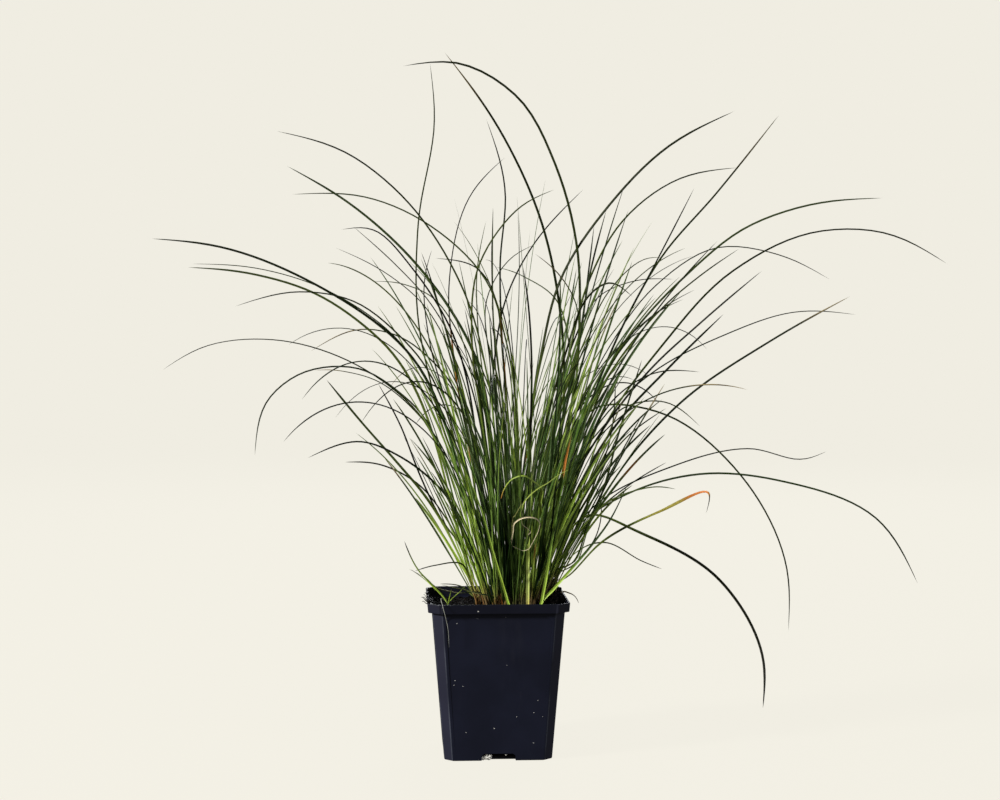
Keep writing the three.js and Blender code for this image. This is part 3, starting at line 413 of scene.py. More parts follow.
class Field:
    """The stretches of the blades placed so far, and the test that keeps new ones clear of them."""

    ROOM = 4096

    def __init__(self):
        self.count = 0
        self.start, self.end, self.free, self.middle = (np.zeros((self.ROOM, 3)) for _ in range(4))
        self.reach, self.half = np.zeros(self.ROOM), np.zeros(self.ROOM)
        self.owner = np.zeros(self.ROOM, dtype=object)
        self.rooted = np.zeros(self.ROOM, dtype=bool)

    @staticmethod
    def stretches(points, half):
        start, end = points[:-1], points[1:]
        span = np.sqrt(((end - start) ** 2).sum(1))
        free = start.copy()
        free[0] = start[0] + (end[0] - start[0]) * min(FUSED_LENGTH / span[0], 1)
        return start, end, free, (start + end) * 0.5, span / 2, np.full(len(span), half)

    def add(self, owner, stretches, rooted=False):
        new = slice(self.count, self.count + len(stretches[0]))
        mine = (self.start, self.end, self.free, self.middle, self.reach, self.half)
        for column, values in zip(mine, stretches):
            column[new] = values
        self.owner[new] = owner
        self.rooted[new] = rooted
        self.count = new.stop

    def clear(self, owner, stretches):
        start, end, free, middle, reach, half = stretches
        for x, y, z in start[1:]:
            if z < ground_height(x, y) + GROUND_GAP:
                return False
        n = self.count
        apart = middle[:, None, :] - self.middle[None, :n, :]
        need = half[:, None] + self.half[None, :n] + BLADE_GAP
        far = reach[:, None] + self.reach[None, :n] + need
        i, j = np.nonzero((apart**2).sum(2) <= far**2)
        kin = self.owner[j] == owner
        keep = ~(kin & self.rooted[j])
        i, j, kin = i[keep], j[keep], kin[keep][:, None].astype(bool)
        mine = np.where(kin, free[i], start[i])
        theirs = np.where(kin, self.free[j], self.start[j])
        gaps = stretch_distances(mine, end[i], theirs, self.end[j])
        return not bool((gaps < need[i, j]).any())


def stretch_distances(p, q, a, b):
    """Least distance between pairs of straight stretches."""
    with np.errstate(invalid="ignore", divide="ignore"):
        d1, d2, r = q - p, b - a, p - a
        aa, ee, bb = (d1 * d1).sum(1), (d2 * d2).sum(1), (d1 * d2).sum(1)
        f, c = (d2 * r).sum(1), (d1 * r).sum(1)
        slope = aa * ee - bb * bb
        s = np.where(slope > 1e-9, np.clip((bb * f - c * ee) / slope, 0, 1), 0)
        t = (bb * s + f) / ee
        before, after = t < 0, t > 1
        s = np.where(before, np.clip(-c / aa, 0, 1), s)
        s = np.where(after, np.clip((bb - c) / aa, 0, 1), s)
        t = np.where(before, 0, np.where(after, 1, t))
        gap = r + d1 * s[:, None] - d2 * t[:, None]
        return np.sqrt((gap * gap).sum(1))


def eased(share):
    """A share of the crown's half width, eased so that more tufts stand upright."""
    return math.copysign(abs(share) ** LEAN_POWER, share)


def blades_at(across):
    """How many short blades grow at a place across the crown."""
    if across < THIN_BELOW:
        return BLADES_PER_TUFT - THIN_LEFT
    return BLADES_PER_TUFT + (LOBE_EXTRA if LOBE_FROM < across < LOBE_UP_TO else 0)


def make_stands():
    stands = []
    for k in range(TUFTS):
        share = draws(STAND_SEED + k)
        out = math.sqrt((k + 0.5) / TUFTS)
        across = out * math.cos(k * GOLDEN_ANGLE)
        deep = out * math.sin(k * GOLDEN_ANGLE)
        side = LEAN_LEFT if across < 0 else LEAN_RIGHT
        lean_x = side * (eased(across) + either_way(LEAN_STRAY, share()))
        lean_y = LEAN_DEEP * (eased(deep) + either_way(LEAN_STRAY, share()))
        height = SHEATH_HEIGHT * between(*SHEATH_RANGE, share())
        x, y = CROWN_X + CROWN_HALF_X * across, CROWN_Y + CROWN_HALF_Y * deep
        name = f"tuft_{k + 1:02d}"
        stands.append(Stand(name, x, y, lean_x, lean_y, height, out, blades_at(across)))
    for k, (x, y, lean_x, lean_y) in enumerate(OUTLIERS):
        name = f"tuft_{TUFTS + 1 + k}"
        height = OUTLIER_SHEATH * SHEATH_HEIGHT
        stands.append(Stand(name, x, y, lean_x, lean_y, height, 1, OUTLIER_BLADES))
    return stands


def arch_trace(start, lean, heading, turn, length, bend, power):
    """The path of a blade that leaves its sheath at a lean and bends over by a heading."""
    share = (np.arange(TRACE_STEPS) + 0.5) / TRACE_STEPS
    angle = lean + bend * share**power
    way = heading + turn * share
    flat = np.sin(angle)
    steps = np.stack([flat * np.cos(way), flat * np.sin(way), np.cos(angle)], 1) * (length / TRACE_STEPS)
    return np.vstack([start, start + np.cumsum(steps, 0)])


def spline_trace(points, direction, steps=TRACE_STEPS):
    """A smooth path through a few points, leaving the first along a given direction."""
    points = [np.asarray(p, float) for p in points]
    spans = [float(np.sqrt(((b - a) ** 2).sum())) for a, b in zip(points, points[1:])]
    slopes = [(b - a) / span for a, b, span in zip(points, points[1:], spans)]
    last = len(points) - 1

    def tangent(i):
        if i == 0:
            return slopes[0]
        whole = spans[i - 1] + spans[i]
        return slopes[i - 1] * (spans[i] / whole) + slopes[i] * (spans[i - 1] / whole)

    tangents = [unit(np.asarray(direction, float))]
    tangents += [tangent(i) for i in range(1, last)]
    tangents.append(slopes[last - 1] * 1.5 - tangent(last - 1) * 0.5)
    total = sum(spans)
    trace = []
    for i in range(steps + 1):
        at = total * i / steps
        piece = 0
        while piece + 1 < len(spans) and at > spans[piece]:
            at -= spans[piece]
            piece += 1
        u = min(at / spans[piece], 1)
        span = spans[piece]
        trace.append(
            points[piece] * (2 * u**3 - 3 * u**2 + 1)
            + tangents[piece] * ((u**3 - 2 * u**2 + u) * span)
            + points[piece + 1] * (3 * u**2 - 2 * u**3)
            + tangents[piece + 1] * ((u**3 - u**2) * span)
        )
    return np.array(trace)


def sighted(seen, depth):
    """A point seen from the front at (across, up), set at a depth behind the pot's middle."""
    grow = (VIEW_DISTANCE + depth) / VIEW_DISTANCE
    across = seen[0] * grow + VIEW_SHIFT
    up = VIEW_HEIGHT + VIEW_LIFT + (seen[1] - VIEW_HEIGHT) * grow
    c, s = math.cos(VIEW_TURN), math.sin(VIEW_TURN)
    return np.array([across * c + depth * s, depth * c - across * s, up])


def spread_at(z):
    """How much wider the clump is at a height than at the soil."""
    return 1 + SPREAD_GAIN * clamp((z - SPREAD_FROM) / SPREAD_OVER, 0, 1) ** SPREAD_POWER


def nearest_stands(stands, x, y):
    """Stands by how near they are, those that hold many blades later."""
    return sorted(stands, key=lambda s: math.hypot(s.x - x, s.y - y) + CROWDING * s.held)


def length_gain(lean_x):
    """How a short blade's length changes with its lean to the side."""
    gap = GAP_DEPTH * bell(lean_x, GAP_LEAN, GAP_WIDTH)
    far = FAR_DEPTH * clamp((abs(lean_x) - FAR_LEAN) / FAR_WIDTH, 0, 1)
    lobe = LOBE_GAIN * bell(lean_x, LOBE_LEAN, LOBE_WIDTH)
    return 1 - gap - far + lobe


class Clump:
    """The whole clump, grown in the order in which the solids are."""

    def __init__(self):
        self.field = Field()
        self.blades = []
        self.stands = make_stands()
        for stand in self.stands:
            ends = np.array([stand.axis(0), stand.axis(stand.height)])
            self.field.add(stand.name, Field.stretches(ends, SHEATH_RADIUS), rooted=True)
        x, y = SEEDLING_AT
        self.seedling = Stand("tuft_seedling", x, y, *SEEDLING_LEAN, SEEDLING_SHEATH)
        self.grow_seedling()
        self.grow_long()
        self.grow_arching()
        self.grow_short()

    def place(self, stand, trace, every, width, roll, kind, number):
        """Adds a blade if it is clear of all others, and tells whether it was."""
        stretches = Field.stretches(trace[::every], width / 2)
        if not self.field.clear(stand.name, stretches):
            return False
        self.field.add(stand.name, stretches)
        stand.held += 1
        self.blades.append(Blade(stand, trace, every, width, roll, kind, number))
        return True

    @staticmethod
    def depth_path(stand, tip_depth, seen, power):
        """Points from base to tip, set in depth between the stand and the blade's tip."""
        count = len(seen)
        path = []
        for i, point in enumerate(seen):
            share = (count - i) / (count + DEPTH_LAG)
            path.append(sighted(point, stand.y + (tip_depth - stand.y) * share**power))
        return path[::-1]

    def grow_seedling(self):
        stand = self.seedling
        start = stand.axis(stand.height / 3)
        direction = (stand.lean_x, stand.lean_y, 1)
        for k, (tip_depth, width, *seen) in enumerate(SEEDLING_LEAVES):
            trace = spline_trace([start, *self.depth_path(stand, tip_depth, seen, 1)], direction)
            self.place(stand, trace, CORNER_EVERY["seedling"], width, 0, "seedling", k)
        trace = spline_trace([start, *DEAD_LEAF], DEAD_LEAF_START)
        self.place(stand, trace, CORNER_EVERY["dead"], DEAD_LEAF_WIDTH, 0, "dead", 0)

    def grow_long(self):
        for k, (tip_depth, width, *seen) in enumerate(LONG_BLADES):
            share = draws(LONG_SEED + k)
            lowest = sighted(seen[-1], 0)
            across = (lowest[0] - CROWN_X) / spread_at(lowest[2])
            root_x = CROWN_X + clamp(across, -CROWN_HALF_X, CROWN_HALF_X)
            root_y = CROWN_Y + clamp(tip_depth * ROOT_SHARE, -ROOT_LIMIT, ROOT_LIMIT)
            near = nearest_stands(self.stands, root_x, root_y)
            for go in range(2 * TRIES):
                stand = near[go // TRIES_EACH]
                start = stand.axis(stand.height * between(*LEAVE, share()))
                sway = ((go % TRIES_EACH) - 2) * (SWAY + SWAY_GAIN * go) * (-1 if share() < 0.5 else 1)
                path = self.depth_path(stand, tip_depth + sway, seen, DEPTH_POWER)
                direction = (stand.lean_x * ROOT_LEAN, stand.lean_y * ROOT_LEAN, 1)
                trace = spline_trace([start, *path], direction)
                roll = either_way(LONG_ROLL, share())
                if self.place(stand, trace, CORNER_EVERY["long"], width, roll, "long", k):
                    break

    def grow_arching(self):
        for k in range(ARCHING_BLADES):
            share = draws(ARCHING_SEED + k)
            forward = -1 if k % 2 == 0 else 1
            for _ in range(TRIES):
                heading = forward * math.pi / 2 + either_way(ARCH_FAN, share())
                reach = between(*ARCH_REACH, share())
                root_x = CROWN_X + CROWN_HALF_X * reach * math.cos(heading)
                root_y = CROWN_Y + CROWN_HALF_Y * reach * math.sin(heading)
                stand = nearest_stands(self.stands, root_x, root_y)[0]
                start = stand.axis(stand.height * between(*LEAVE, share()))
                length = between(*ARCH_LENGTH, share())
                bend = between(*ARCH_BEND, share())
                lean = between(*ARCH_LEAN, share())
                turn = either_way(ARCH_TURN, share())
                trace = arch_trace(start, lean, heading, turn, length, bend, ARCH_POWER)
                width = between(*ARCH_WIDTH, share())
                roll = either_way(LONG_ROLL, share())
                if self.place(stand, trace, CORNER_EVERY["arching"], width, roll, "arching", k):
                    break

    def grow_short(self):
        """Short blades in rounds, each of which adds one to every tuft that still needs one."""
        for i in range(BLADES_PER_TUFT + LOBE_EXTRA):
            for k, stand in enumerate(self.stands):
                if i < stand.blades:
                    self.grow_one_short(i, k, stand)

    def grow_one_short(self, i, k, stand):
        number = SHORT_SEED_STEP * i + k
        share = draws(number + 1)
        around = i * GOLDEN_ANGLE + k
        for go in range(TRIES):
            leave = between(*SHORT_LEAVE, (i + share()) / (BLADES_PER_TUFT + LOBE_EXTRA))
            stray = math.tan(between(SHORT_STRAY[0], SHORT_STRAY[1] + go * SHORT_STRAY_GROWTH, share()))
            way = around + either_way(SHORT_WANDER, share()) * (1 + go / SHORT_WANDER_TRIES)
            offset = np.array([ROOT_OFFSET * math.cos(way), ROOT_OFFSET * math.sin(way), 0])
            start = stand.axis(stand.height * leave) + offset
            lean_x = stand.lean_x + stray * math.cos(way)
            lean_y = stand.lean_y + stray * math.sin(way)
            heading = math.atan2(lean_y, lean_x)
            lean = math.atan(math.hypot(lean_x, lean_y))
            edge = SHORT_EDGE[0] - SHORT_EDGE[1] * stand.share**2
            length = between(*SHORT_LENGTH, share() ** SHORT_LENGTH_POWER) * edge * length_gain(lean_x)
            bend = (SHORT_BEND[0] + SHORT_BEND[1] * share() ** 2) * (SHORT_BEND_MARGIN - lean)
            turn = either_way(SHORT_TURN, share())
            trace = arch_trace(start, lean, heading, turn, length, bend, SHORT_POWER)
            width = between(*SHORT_WIDTH, share())
            roll = between(*SHORT_ROLL, share())
            bow = length * bend
            every = SHORT_EVERY[0 if bow > FULL_BOW else 1 if bow > SLIM_BOW else 2]
            if self.place(stand, trace, every, width, roll, "short", number):
                return


# Making the meshes.

# Sections of a blade, as points across and up in half widths: open for most of it, folded at its foot.
OPEN_SECTION = (
    *((-1, 0.46), (-0.5, 0.14), (0, -0.16), (0.5, 0.14)),
    *((1, 0.46), (0.54, -0.14), (0, -0.52), (-0.54, -0.14)),
)
FOLDED_SECTION = (
    *((-0.62, 0.72), (-0.3, 0.62), (0, 0.5), (0.3, 0.62)),
    *((0.62, 0.72), (0.78, -0.1), (0, -0.85), (-0.78, -0.1)),
)
# A blade unfolds between these lengths from the soil. Long blades stay partly folded.
UNFOLDS = (10, 46)
LONG_FOLD = 0.35
ROOT_SPREAD = 1.25
ROOT_SUNK = 4
ROOT_COLLAR = 0.5
# A blade that bows less than this is straight, and faces across its run with this share of its rise.
STRAIGHT_BOW = 2
FACING_RISE = 0.2
# A blade that leaves its sheath nearer to the axis than this has no side.
NO_SIDE = 0.2
BOX_SLACK = 5

# How wide a dressed blade is beside its solid. Each part below gives the shares of its length between which
# a change comes in.
SHORT_FULLNESS = 1.06
LONG_FULLNESS = 1.3
WIDTH_RANGE = (0.7, 1.2)
MEAN_WIDTH = 1.5
FOOT_SLIM = 0.46
FOOT_GAIN = 1.3
TAPER_POWER = 1.6
TIP_LOSS = 0.45
FULL_TIP_WIDTH = 2.4
LEAST_TIP_LOSS = 0.4
POINT_LOSS = 0.6
POINT_PART = (0.9, 1)
# Long blades slimmer than the others of their width, by number.
LONG_TRIM = {15: 0.75, 46: 0.36, 64: 0.42}
ARCHING_FULLNESS = 0.52
# All but long and arching blades are slimmer in the gap and at the left, and broader right of the middle.
OPEN_LOSS = 0.35
OPEN_PART = (0.35, 0.6)
LEFT_LOSS = 0.24
LEFT_FROM = -4
LEFT_REACH = 8
BROAD_AT = 22
BROAD_WIDTH = 7
BROAD_GAIN = 0.45
BROAD_PART = (0.2, 0.45)
# The feet of all blades are slimmer at the right.
RIGHT_LOSS = 0.2
RIGHT_PART = (0, 0.4)
SEEDLING_FULLNESS = (1.25, 1, 0.8, 0.7)
DEAD_FULLNESS = 0.7
DEAD_FOLD = 0.55

# How green, dusky, dry and russet a blade is. Low down, its green goes by its place: painted light makes it
# brighter at the clump's left, and painted shade makes it darker a little right of its middle.
TONE_RANGE = (0.08, 0.88)
LOW_PART = (45, 140)
PAINTED_SHADE_AT = 8
PAINTED_LIGHT_WIDTH = 10
PAINTED_SHADE_LOSS = 0.84
PAINTED_LIGHT_FROM = 0
PAINTED_LIGHT_GAIN = 0.22
PAINTED_LIGHT_EVENNESS = 0.25
LONG_DUSK = (0.7, 1)
SHORT_DUSK = 0.45
DRY_TIP_FROM = (0.78, 0.92)
DRY_TIP_REACH = 0.1
DRY_TIP = 0.8
WARM_AT = (0.35, 0.9)
WARM_REACH = 0.05
WARM_RANGE = (0.4, 1)
SEEDLING_TONE = 0.95
SEEDLING_DUSK_PART = (0.6, 0.95)
# One long blade turns orange over its last straight run, and dark again at its hooked end.
RUSSET_BLADE = 4
RUSSET_TONE = 0.75
RUSSET_HOOK = (0.88, 0.91)
RUSSET_FIRST = (0.5, 0.62)
RUSSET_FULL = (0.74, 0.8)
RUSSET_SHARE = 0.3
RUSSET_SWELL = (0.74, 0.09)
RUSSET_SWELL_GAIN = 0.6
RUSSET_HOOK_LOSS = 0.5
RUSSET_DUSK_PART = (0.45, 0.6)

# Sheath scales: the russet ones stand mostly between two places across.
RUSSET_BASES = (-16, 6)
RUSSET_CHANCES = (0.12, 0.75)
BRACTS = 5
BRACTS_THIN = 3
BRACT_POINTS = 9
BRACT_JITTER = 0.2
BRACT_HEIGHT = (3, 8)
BRACT_FLARE = (0.1, 1.2)
BRACT_WIDTH = (0.6, 1.1)
BRACT_POINTED = 2.2
BRACT_TIP = 0.02
BRACT_FOOT = -2.5
BRACT_RADIUS = 1.75
BRACT_TUCK = 0.35
# Their marks, plain ones first and then russet ones where the two differ.
BRACT_SHARE = 0.1
BRACT_TONE = 0.9
BRACT_DRY = ((0.1, 0.22), (0.1, 0.42))
BRACT_WARM = (0.1, 0.4)
BRACT_DUSK = (0.1, 0.7)


class Skin:
    """Points, faces and marks of one mesh being made. A mark is a number kept for each point."""

    def __init__(self, marks=()):
        self.points, self.faces = [], []
        self.marks = {name: [] for name in marks}

    def add(self, points, faces, **marks):
        first = len(self.points)
        self.points.extend(points)
        self.faces.extend([tuple(first + i for i in face) for face in faces])
        for name, column in self.marks.items():
            value = marks.get(name, 0)
            column.extend(value if hasattr(value, "__len__") else [value] * len(points))

    def stack(self, rings):
        """A closed body through rings of equal length, with flat ends."""
        self.add([point for ring in rings for point in ring], stacked(rings))
        return self

    def build(self, name, material, smooth=50):
        mesh = bpy.data.meshes.new(name)
        mesh.from_pydata([tuple(np.asarray(p, float) * MM) for p in self.points], [], self.faces)
        for mark, column in self.marks.items():
            layer = mesh.attributes.new(mark, "FLOAT", "POINT")
            layer.data.foreach_set("value", np.asarray(column, np.float32))
        tidy_mesh(mesh, smooth)
        mesh.materials.append(material)
        return show(name, mesh)


def tidy_mesh(mesh, smooth):
    """Faces turned outwards and shaded smooth below an angle in degrees."""
    work = bmesh.new()
    work.from_mesh(mesh)
    bmesh.ops.recalc_face_normals(work, faces=work.faces)
    work.to_mesh(mesh)
    work.free()
    mesh.shade_smooth()
    mesh.set_sharp_from_angle(angle=smooth * DEGREE)


def show(name, mesh):
    piece = bpy.data.objects.new(name, mesh)
    bpy.context.scene.collection.objects.link(piece)
    return piece


def stacked(rings, tip=None):
    """Faces that join rings of equal length, closed by a flat end and by a flat end or a point."""
    count = len(rings[0])
    faces = [tuple(reversed(range(count)))]
    for ring in range(len(rings) - 1):
        for i in range(count):
            here, following = ring * count + i, ring * count + (i + 1) % count
            faces.append((here, following, following + count, here + count))
    last = (len(rings) - 1) * count
    if tip is None:
        faces.append(tuple(range(last, last + count)))
    else:
        faces += [(last + i, last + (i + 1) % count, last + count) for i in range(count)]
    return faces


def refine(path):
    """A path with a point added in the middle of each stretch, on the curve through its neighbours."""
    before = np.vstack([2 * path[0] - path[1], path[:-2]])
    after = np.vstack([path[2:], 2 * path[-1] - path[-2]])
    middles = (9 * (path[:-1] + path[1:]) - before - after) / 16
    woven = np.empty((2 * len(path) - 1, 3))
    woven[::2], woven[1::2] = path, middles
    return woven


def facing_of(blade):
    """The side that a blade's bow faces, as its solid takes it."""
    points = blade.corners()
    last = len(points) - 1
    chord = points[-1] - points[0]
    bow = points[0] + chord * 0.5 - points[int(last / 2 + 0.5)]
    length = math.sqrt(float(bow @ bow))
    if length > STRAIGHT_BOW:
        return -bow / length
    return unit(np.array([-chord[1], chord[0], FACING_RISE * chord[2]]))


def carried_frames(path, facing):
    """The flat and face directions along a path, carried on from its foot without a twist."""
    along = np.gradient(path, axis=0)
    along /= np.linalg.norm(along, axis=1)[:, None]
    flat = np.empty_like(path)
    first = np.cross(along[0], facing)
    flat[0] = first / np.linalg.norm(first)
    for i in range(1, len(path)):
        side = flat[i - 1] - along[i] * float(flat[i - 1] @ along[i])
        flat[i] = side / np.linalg.norm(side)
    return flat, np.cross(flat, along)


def lay_blade(skin, path, facing, halves, folds, rolls, marks):
    """A closed keeled blade along a path, with a half width, a fold and a roll at each point."""
    flat, face = carried_frames(path, facing)
    across = flat * np.cos(rolls)[:, None] + face * np.sin(rolls)[:, None]
    up = face * np.cos(rolls)[:, None] - flat * np.sin(rolls)[:, None]
    opened, folded = np.array(OPEN_SECTION), np.array(FOLDED_SECTION)
    points = []
    last = len(path) - 1
    for i in range(last):
        section = (opened * (1 - folds[i]) + folded * folds[i]) * halves[i]
        points.extend(path[i] + section[:, :1] * across[i] + section[:, 1:] * up[i])
    points.append(path[last])
    count = len(opened)
    spread = {
        name: np.append(np.repeat(np.asarray(column)[:last], count), column[last])
        for name, column in marks.items()
    }
    spread["edge"] = np.append(np.tile(opened[:, 0], last), 0)
    skin.add(points, stacked([range(count)] * last, tip=True), **spread)


LEAF_MARKS = ("share", "rise", "edge", "tone", "dry", "warm", "dusk")


def rooted_path(blade, chance):
    """A blade's path, carried on down through its sheath into the soil, and how far each point is along."""
    stand = blade.stand
    start = blade.trace[0]
    middle = stand.axis(max(start[2] - stand.soil, 0))
    away = start - middle
    sided = float(away @ away) > NO_SIDE**2
    way = math.atan2(away[1], away[0]) if sided else chance.uniform(0, 2 * math.pi)
    out = np.array([math.cos(way), math.sin(way), 0]) * ROOT_SPREAD
    foot = np.array([stand.x, stand.y, stand.soil - ROOT_SUNK]) + out
    collar = np.array([stand.x, stand.y, stand.soil + ROOT_COLLAR]) + out
    path = np.vstack([foot, collar, refine(blade.trace)])
    steps = np.linalg.norm(np.diff(path, axis=0), axis=1)
    along = np.concatenate([[0], np.cumsum(steps)]) - ROOT_SUNK
    return path, along


def rising(value, low, high):
    """0 up to low, 1 from high on, smooth between."""
    share = np.clip((value - low) / (high - low), 0, 1)
    return share * share * (3 - 2 * share)


def bells(values, middle, width):
    """The bell of every value along a blade."""
    return np.exp(-(((values - middle) / width) ** 2))


def painted_light_tone(x, share):
    """How bright a blade's green is painted by its place: painted light makes it brightest at the clump's
    left, and painted shade makes it darkest a little right of its middle.
    """
    dark = bell(x, PAINTED_SHADE_AT, PAINTED_LIGHT_WIDTH)
    bright = clamp((PAINTED_LIGHT_FROM - x) / PAINTED_LIGHT_WIDTH, 0, 1)
    return share * (1 - PAINTED_SHADE_LOSS * dark) * (1 - PAINTED_LIGHT_EVENNESS * bright) + PAINTED_LIGHT_GAIN * bright


def blade_halves(blade, share, chance):
    """Half the width of a dressed blade at each point of its path."""
    x = blade.stand.x
    if blade.long_one:
        trim = ARCHING_FULLNESS if blade.kind == "arching" else LONG_TRIM.get(blade.number, 1)
        fullness = LONG_FULLNESS * (blade.width / MEAN_WIDTH) * trim
        loss = TIP_LOSS * clamp(FULL_TIP_WIDTH - blade.width, LEAST_TIP_LOSS, 1)
    else:
        fullness = SHORT_FULLNESS * chance.uniform(*WIDTH_RANGE)
        loss = TIP_LOSS
    foot = np.minimum(1, FOOT_SLIM + FOOT_GAIN * share)
    halves = blade.width / 2 * fullness * foot * (1 - loss * share**TAPER_POWER)
    if not blade.long_one:
        halves *= 1 - OPEN_LOSS * bell(blade.stand.lean_x, GAP_LEAN, GAP_WIDTH) * rising(share, *OPEN_PART)
        halves *= 1 - LEFT_LOSS * clamp((LEFT_FROM - x) / LEFT_REACH, 0, 1)
        halves *= 1 + BROAD_GAIN * bell(x, BROAD_AT, BROAD_WIDTH) * rising(share, *BROAD_PART)
    halves *= 1 - RIGHT_LOSS * clamp((x - BROAD_AT) / BROAD_WIDTH, 0, 1) * (1 - rising(share, *RIGHT_PART))
    return halves * (1 - POINT_LOSS * rising(share, *POINT_PART))


def blade_marks(blade, share, along, settings, chance):
    """What the leaf finish reads at each point of a blade."""
    own = chance.random()
    low_part = 1 - rising(along, *LOW_PART)
    # Low down the tone is painted light and shade, set by the tuft's place across the clump.
    tone = between(between(*TONE_RANGE, own), painted_light_tone(blade.stand.x, own), low_part)
    dusk = between(*LONG_DUSK, chance.random()) if blade.long_one else SHORT_DUSK * chance.random() ** 2
    dusk = np.full(len(share), dusk)
    dry_tip = DRY_TIP if chance.random() < settings.dry_tips else 0
    dry_from = chance.uniform(*DRY_TIP_FROM)
    dry = dry_tip * rising(share, dry_from, dry_from + DRY_TIP_REACH)
    warm = bells(share, chance.uniform(*WARM_AT), WARM_REACH) * chance.uniform(*WARM_RANGE)
    warm *= chance.random() < settings.warm_blades
    return {"share": share, "rise": along, "tone": tone, "dry": dry, "warm": warm, "dusk": dusk}


def turn_russet(halves, marks):
    """The one long blade that is orange over its last straight run."""
    share = marks["share"]
    hook = rising(share, *RUSSET_HOOK)
    first, full = rising(share, *RUSSET_FIRST), rising(share, *RUSSET_FULL)
    marks["warm"] = between(full, first, RUSSET_SHARE) * (1 - hook)
    marks["dusk"] = marks["dusk"] * (1 - rising(share, *RUSSET_DUSK_PART) * (1 - hook))
    marks["tone"] = np.full(len(share), RUSSET_TONE)
    return halves * (1 + RUSSET_SWELL_GAIN * bells(share, *RUSSET_SWELL)) * (1 - RUSSET_HOOK_LOSS * hook)


def dress_blade(skin, blade, settings):
    """One blade of a tuft, from the soil to its tip."""
    chance = random.Random(f"{blade.kind} {blade.number}")
    path, along = rooted_path(blade, chance)
    share = np.clip(along / along[-1], 0, 1)
    level = np.ones(len(path))
    halves = blade_halves(blade, share, chance)
    folds = np.maximum(1 - rising(along, *UNFOLDS), LONG_FOLD if blade.long_one else 0)
    rolls = blade.roll + chance.uniform(-1, 1) * settings.twist * rising(share, 0, 1)
    marks = blade_marks(blade, share, along, settings, chance)
    if blade.kind == "dead":
        marks.update(tone=level, dry=level)
        folds = DEAD_FOLD * level
        halves = halves * DEAD_FULLNESS
    elif blade.kind == "seedling":
        marks.update(rise=along + UNFOLDS[1], tone=SEEDLING_TONE * level)
        marks.update(dry=0 * level, warm=0 * level, dusk=rising(share, *SEEDLING_DUSK_PART))
        halves = halves * SEEDLING_FULLNESS[blade.number]
    elif blade.kind == "long" and blade.number == RUSSET_BLADE:
        halves = turn_russet(halves, marks)
    lay_blade(skin, path, facing_of(blade), halves, folds, rolls, marks)


def dress_bracts(skin, stand, count, chance):
    """Papery sheath scales round the foot of a tuft, russet on some."""
    russet = chance.random() < RUSSET_CHANCES[RUSSET_BASES[0] < stand.x < RUSSET_BASES[1]]
    share = np.linspace(0, 1, BRACT_POINTS)
    level = np.ones(BRACT_POINTS)
    for k in range(count):
        way = 2 * math.pi * (k + chance.uniform(-BRACT_JITTER, BRACT_JITTER)) / count
        out = np.array([math.cos(way), math.sin(way), 0])
        height = chance.uniform(*BRACT_HEIGHT)
        flare = chance.uniform(*BRACT_FLARE)
        path = []
        for s in share:
            rise = between(BRACT_FOOT, height, s)
            path.append(stand.axis(max(rise, 0)) + out * (BRACT_RADIUS - BRACT_TUCK * s + flare * s**3))
            path[-1][2] = stand.soil + rise
        halves = chance.uniform(*BRACT_WIDTH) * (1 - share**BRACT_POINTED) ** 0.5 + BRACT_TIP
        marks = {
            "share": share * BRACT_SHARE,
            "rise": share * height,
            # Their tone carries painted light and shade by the tuft's place, as a blade's foot does.
            "tone": level * BRACT_TONE * painted_light_tone(stand.x, chance.random()),
            "dry": level * chance.uniform(*BRACT_DRY[russet]),
            "warm": level * (chance.uniform(*BRACT_WARM) if russet else 0),
            "dusk": level * chance.uniform(*BRACT_DUSK),
        }
        lay_blade(skin, np.array(path), out, halves, 0 * level, math.pi * level, marks)


# Finishes.


def tint(text):
    """Linear colour from a screen colour such as 4f7a2c."""
    parts = [int(text[i : i + 2], 16) / 255 for i in (0, 2, 4)]
    return [p / 12.92 if p <= 0.04045 else ((p + 0.055) / 1.055) ** 2.4 for p in parts]


def scaled(values, share):
    return [value * share for value in values]


